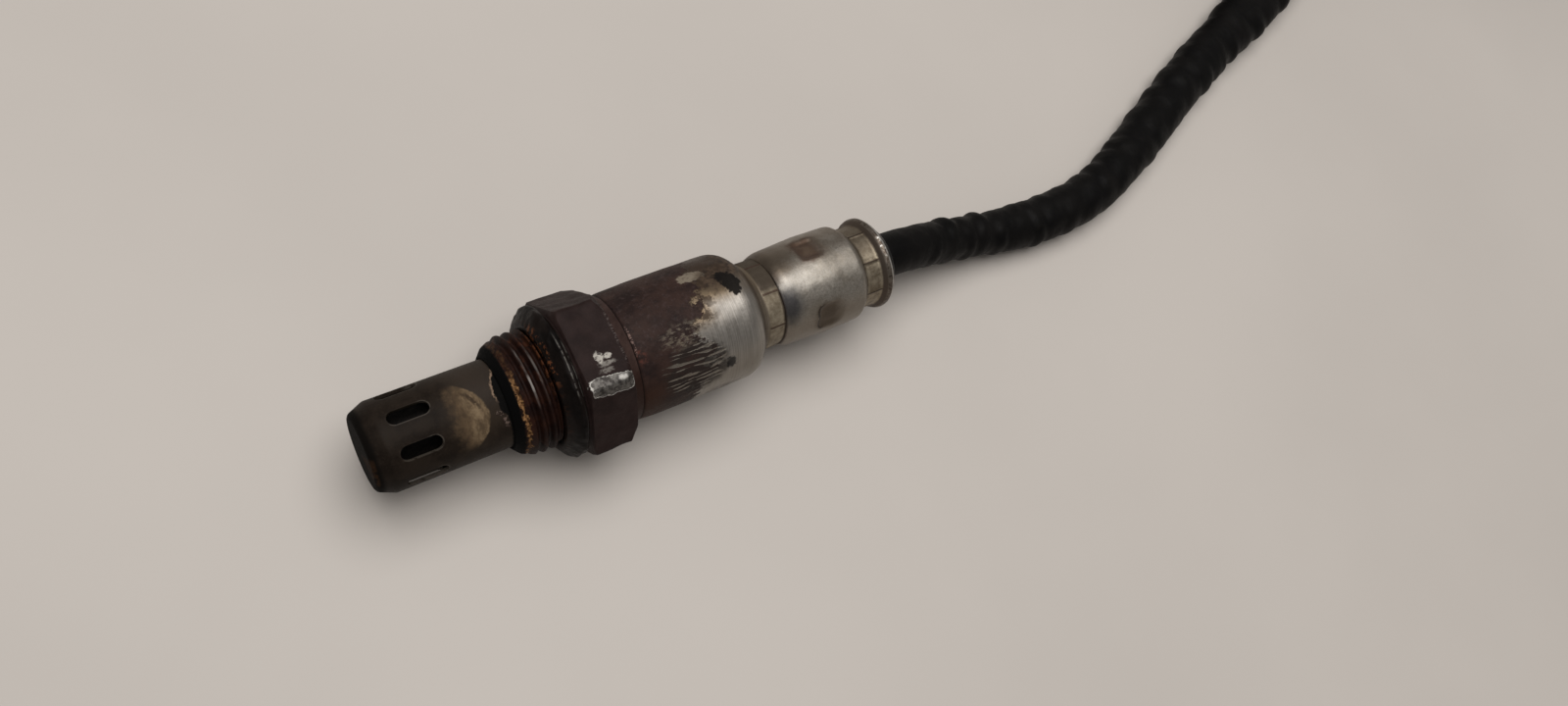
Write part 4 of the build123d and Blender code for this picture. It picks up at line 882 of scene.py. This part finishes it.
def add_shell(materials):
    """The housing with its real thread and the hexagon's turned corners."""
    rings = plain(NOSE_BORE)
    rings += shaped(shell_ring, NOSE_X, 0.0, 0.1)
    rings += plain(*GASKET_SEAT)
    rings += shaped(shell_ring, HEX_X, 4.0, 0.1)
    rings += shaped(shell_ring, 4.2, 8.4, 0.3)
    rings += shaped(shell_ring, 8.5, HEX_END, 0.12)
    rings += plain(*SHELL_REAR, *SHELL_BORE)
    piece = add_turned("threaded_shell", rings, 288, materials, "shell_steel")
    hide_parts("housing_shell")


GASKET_PROFILE = [(0.0, 9.75), (0.85, 10.85), (1.7, 11.5), (2.35, 11.5), (2.75, 11.1), (GASKET_T, 10.6)]
GASKET_BORE = [(GASKET_T, 8.45), (0.0, 8.45), (0.0, 9.1)]


def gasket_ring(x):
    """Outer radius of the crushed ring at x."""
    base = rounded(GASKET_PROFILE, x, 0.3)

    def radius(turn):
        dent = 0.30 * noise.noise(on_skin(x * 0.9, turn, 4.0))
        dent += 0.10 * noise.noise(on_skin(x * 1.6, turn, 12))
        return base + dent * smooth(0.0, 0.5, x) * (1 - smooth(2.6, GASKET_T, x))

    return radius


def add_gasket(materials):
    """The crushed sealing ring, dented round its edge."""
    rings = plain(*GASKET_BORE) + shaped(gasket_ring, 0.0, GASKET_T, 0.12)
    piece = add_turned("dented_gasket", rings, 240, materials, "gasket_steel")
    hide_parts("gasket")


CASING_PROFILE = [
    (CASING_X, 9.78), (12.7, 9.92), (14.6, 10.02), (17.5, CASING_R), (30.84, CASING_R), (31.6, 10.02),
    (32.3, 9.79), (32.9, 9.45), (33.35, 9.04), (34.7, 7.55), (35.1, 7.12), (35.35, 6.98), (35.55, 6.98),
    (35.75, 7.12), (NECK_END, 7.08),
]
CASING_BORE = [(NECK_END, 6.62), (35.2, 6.62), (32.1, 9.6), (14.2, 9.6), (13.95, 9.37), (CASING_X, 9.37)]


def casing_ring(x):
    """Outer radius of the front casing at x: a drawn shell, crimped round the neck."""
    base = along_profile(CASING_PROFILE, x)
    if x < 38.1:
        base = rounded(CASING_PROFILE, x, 0.35 if x > 33 else 0.6)

    def radius(turn):
        jaw = from_mark(turn, NECK_JAW_TURN, JAW_PITCH)
        on_neck = smooth(35.5, 35.9, x)
        ridge = 0.10 * (1 - smooth(0.10, 0.32, abs(math.radians(jaw) * NECK_R)))
        panel = 0.07 * (1 - (jaw / (JAW_PITCH / 2)) ** 2)
        wave = 0.05 * noise.noise(on_skin(x * 0.35, turn, 5))
        return base + (ridge - panel * 0.6) * on_neck + wave

    return radius


def add_casing(materials):
    """The front casing with its soft swell behind the hexagon and its crimped neck."""
    rings = shaped(casing_ring, CASING_X, 30.8, 0.5)
    rings += shaped(casing_ring, 31.0, NECK_END, 0.1)
    rings += plain(*CASING_BORE)
    piece = add_turned("crimped_casing", rings, 240, materials, "casing_steel")
    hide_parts("front_casing")


SLEEVE_PROFILE = [
    (NECK_END, 7.2), (39.1, 7.5), (40.0, 7.75), (47.3, 8.1), (53.2, 7.98), (53.8, 7.5), (54.6, 6.68),
    (57.35, 6.68), (58.0, 7.45), (58.4, 7.7), (59.5, 7.7),
]
SLEEVE_FRONT = [(34.6, 6.1), (34.6, 6.58), (NECK_END, 6.58), (NECK_END, 7.12), (38.45, 7.2)]
SLEEVE_RIM = [(59.4, 7.2), (59.45, 7.0), (59.45, 6.6), (59.3, 6.43), (58.2, 6.42)]
SLEEVE_BORE = [(57.2, 6.2), (55.0, 6.2), (52.7, 7.5), (47.3, 7.0), (40.0, 7.0), (38.9, 6.1)]


def sleeve_ring(x):
    """Outer radius of the rear sleeve at x, with its dimples and the crimp's ridges."""
    base = rounded(SLEEVE_PROFILE, x, 0.5) if x > 39.2 else along_profile(SLEEVE_PROFILE, x)
    end = smooth(58.7, 59.4, x)
    base -= 0.34 * end * end

    def radius(turn):
        across = abs(math.radians(from_mark(turn, DIMPLE_TURN, DIMPLE_PITCH)) * SLEEVE_R)
        along = abs(x - DIMPLE_X)
        reach = (along**4 + across**4) ** 0.25
        dent = DIMPLE_DEPTH * (1 - smooth(1.5, DIMPLE_R, reach))
        jaw = from_mark(turn, REAR_JAW_TURN, JAW_PITCH)
        ridge = 0.14 * (1 - smooth(0.10, 0.34, abs(math.radians(jaw) * CRIMP_R)))
        ridge *= smooth(54.4, 54.8, x) * (1 - smooth(57.1, 57.5, x))
        wave = 0.035 * noise.noise(on_skin(x * 0.5, turn, 5))
        return base - dent + ridge + wave

    return radius


def add_sleeve(materials):
    """The thin rear sleeve with its dimples, crimp groove and rolled rim."""
    rings = plain(*SLEEVE_FRONT)
    rings += shaped(sleeve_ring, 38.6, 59.3, 0.15)
    rings += plain(*SLEEVE_RIM, *SLEEVE_BORE)
    piece = add_turned("dimpled_sleeve", rings, 288, materials, "sleeve_steel")
    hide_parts("rear_sleeve")


# ---- the lead


def lead_path():
    """Points (mm) along the NURBS spline through the lead's control points."""
    curve = bpy.data.curves.new("lead_path", "CURVE")
    curve.dimensions = "3D"
    curve.resolution_u = 24
    spline = curve.splines.new("NURBS")
    spline.points.add(len(LEAD_POINTS) - 1)
    for point, place in zip(spline.points, LEAD_POINTS):
        point.co = (*(c * MM for c in place), 1)
    spline.order_u = 3
    spline.use_endpoint_u = True
    holder = link(bpy.data.objects.new("lead_path", curve))
    bpy.context.view_layer.update()
    mesh = bpy.data.meshes.new_from_object(holder)
    points = [v.co / MM for v in mesh.vertices]
    bpy.data.objects.remove(holder)
    bpy.data.meshes.remove(mesh)
    return points


def spaced(points, gap):
    """The same line with its points gap mm apart, and each one's distance from the start."""
    lengths = [0.0]
    for a, b in zip(points, points[1:]):
        lengths.append(lengths[-1] + (b - a).length)
    total = lengths[-1]
    count = round(total / gap)
    out, k = [], 0
    for i in range(count + 1):
        s = total * i / count
        while k < len(points) - 2 and lengths[k + 1] < s:
            k += 1
        t = (s - lengths[k]) / max(1e-9, lengths[k + 1] - lengths[k])
        out.append((s, points[k].lerp(points[k + 1], min(1, t))))
    return out, total


# Wrinkles of the rubber sleeve: mm along it, height, width, turn of the strongest side (degrees), lean
RING_WRINKLES = [
    (12.5, 0.16, 1.2, 270, 0.2), (17.8, 0.60, 1.6, 85, 0.2), (22.0, 0.20, 1.2, 260, -0.2),
    (26.0, 0.48, 1.5, 100, 0.3), (30.5, 0.24, 1.3, 250, 0.2), (35.5, 0.14, 1.4, 95, 0.4),
    (39.0, 0.26, 1.3, 265, -0.3), (43.0, 0.18, 1.5, 85, 0.2), (48.5, 0.24, 1.7, 270, 0.5),
    (54.0, 0.24, 2.2, 90, 0.6), (59.0, 0.28, 1.8, 95, 0.5), (64.5, 0.28, 1.9, 100, 0.4),
    (70.0, 0.28, 1.8, 85, -0.4), (73.0, 0.22, 2.0, 280, -0.5), (79.0, 0.26, 2.4, 100, 0.6),
    (87.0, 0.30, 2.2, 75, 0.3), (93.5, 0.34, 2.4, 95, 0.5), (99.5, 0.34, 2.2, 268, -0.4),
    (103.0, 0.26, 2.0, 100, 0.5), (106.0, 0.15, 2.0, 275, 0.6), (111.5, -0.50, 2.2, 268, 0.4),
    (119.5, 0.32, 2.4, 85, 0.5), (124.0, 0.36, 2.2, 265, -0.4), (131.0, 0.34, 2.6, 100, 0.4),
    (138.0, 0.34, 2.4, 275, 0.5),
]


def lead_section(s):
    """Half width and half height (mm) of the sleeve at a distance along it. It spreads where it lies."""
    at_grommet = 3.75
    spread = 0.6 * smooth(26, 40, s) + 0.4 * smooth(60, 80, s)
    spread += 0.25 * smooth(88, 108, s)
    spread += 0.8 * smooth(112, 130, s)
    tucked = smooth(140, 166, s)
    width = at_grommet + spread - 1.55 * tucked
    height = at_grommet + 0.45 * smooth(26, 60, s) - 0.5 * smooth(100, 125, s) * (1 - tucked)
    return width, height


def wrinkle(s, turn):
    """Height (mm) of the ring wrinkles at a distance along the lead and a turn round it."""
    height = 0.0
    for at, rise, wide, strong, lean in RING_WRINKLES:
        gap = (s - at - lean * 2.2 * math.cos(math.radians(turn))) / wide
        if abs(gap) < 2.4:
            shape = math.exp(-gap * gap * 1.6) - 0.55 * math.exp(-((abs(gap) - 1.25) ** 2) * 5)
            away = math.cos(math.radians(turn - strong + 90))
            height += rise * shape * (0.55 + 0.45 * away)
    return height


def crumple(s, c, n, length, width):
    """Noise along the lead and round it; c and n are the turn's cosine and sine."""
    return noise.noise(Vector((s * length, c * width, n * width)))


def add_lead(materials):
    """The wrinkled rubber sleeve along the whole lead, lying on the table where it comes down to it."""
    path, total = spaced(lead_path(), LEAD_GAP)
    verts = []
    for k, (s, place) in enumerate(path):
        ahead = path[min(k + 1, len(path) - 1)][1] - path[max(k - 1, 0)][1]
        ahead.normalize()
        side = Vector((0, 0, 1)).cross(ahead).normalized()
        top = ahead.cross(side)
        width, height = lead_section(s)
        loose = 1 - smooth(146, 176, s)
        for i in range(LEAD_COUNT):
            turn = 360 * i / LEAD_COUNT
            c, n = math.cos(math.radians(turn)), math.sin(math.radians(turn))
            crease = 0.16 * crumple(s, c, n, 0.33, 1.6)
            crease += 0.08 * crumple(s, c, n, 0.9, 2.6)
            rise = (wrinkle(s, turn) * smooth(6, 14, s) + crease * smooth(2, 10, s)) * loose
            rise += 0.06 * crumple(s, c, n, 0.25, 1.4) * (1 - loose)
            point = place + side * c * (width + rise) + top * n * (height + rise)
            point.z = max(point.z, FLOOR_Z)
            verts.append(point)
    faces = bands(len(path), LEAD_COUNT, False)
    faces.append(tuple(range(LEAD_COUNT)))
    faces.append(tuple((len(path) - 1) * LEAD_COUNT + i for i in range(LEAD_COUNT)))
    piece = add_mesh("wrinkled_lead", verts, faces, materials, "lead_rubber")
    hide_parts("lead_sleeve", "lead_hank")


# ---- the scene

NODE_SLOTS = {
    "outer_protection_tube": "tube_steel",
    "inner_protection_tube": "inner_tube_steel",
    "sensing_element": "zirconia",
    "heater_rod": "heater_ceramic",
    "powder_ring": "talc",
    "ceramic_ring": "support_ceramic",
    "packing_ring": "packing_steel",
    "outer_contact": "contact_alloy",
    "inner_contact": "contact_alloy",
    "contact_holder": "holder_ceramic",
    "spring_sleeve": "spring_steel",
    "sensor_terminals": "terminal_alloy",
    "signal_wires": "signal_wire",
    "heater_wires": "heater_wire",
    "grommet": "grommet_rubber",
    "hank_tie": "tie_plastic",
    "tail_wires": "tail_wire",
    "connector_housing": "connector_plastic",
    "connector_seal": "seal_rubber",
    "connector_pins": "pin_plating",
    "connector_lock": "lock_plastic",
}


def dress_nodes(materials):
    """Gives the bodies that keep their CAD shape their materials."""
    for name, slot in NODE_SLOTS.items():
        for place in nodes[name].material_slots:
            place.material = materials[slot]
        if not nodes[name].material_slots:
            nodes[name].data.materials.append(materials[slot])


def add_floor():
    """The plain pale table top."""
    m = Skin("table_top")
    cloud = m.noise(90.0, 4, 0.5)
    m.color = m.mix(m.step(cloud, 0.3, 0.7), (0.500, 0.460, 0.424), (0.530, 0.488, 0.450))
    material = m.done(0.62)
    corners = [(-1, -1), (1, -1), (1, 1), (-1, 1)]
    data = bpy.data.meshes.new("table")
    data.from_pydata([(x * TABLE_HALF, y * TABLE_HALF, FLOOR_Z * MM) for x, y in corners], [], [(0, 1, 2, 3)])
    data.materials.append(material)
    table = link(bpy.data.objects.new("table", data))


add_camera()
add_world()
add_area(
    "ceiling",
    place=(0.06, 0.12, 0.85),
    target=(0.05, 0.0, 0.0),
    size=0.9,
    power=7.6,
    color=(1.0, 0.985, 0.965),
)
materials = {name: make(name, *looks) for name, (make, *looks) in MAKERS.items()}
dress_nodes(materials)
for add_piece in (add_lead, add_shell, add_gasket, add_casing, add_sleeve):
    add_piece(materials)
add_floor()

bpy.context.scene.view_settings.view_transform = "Standard"
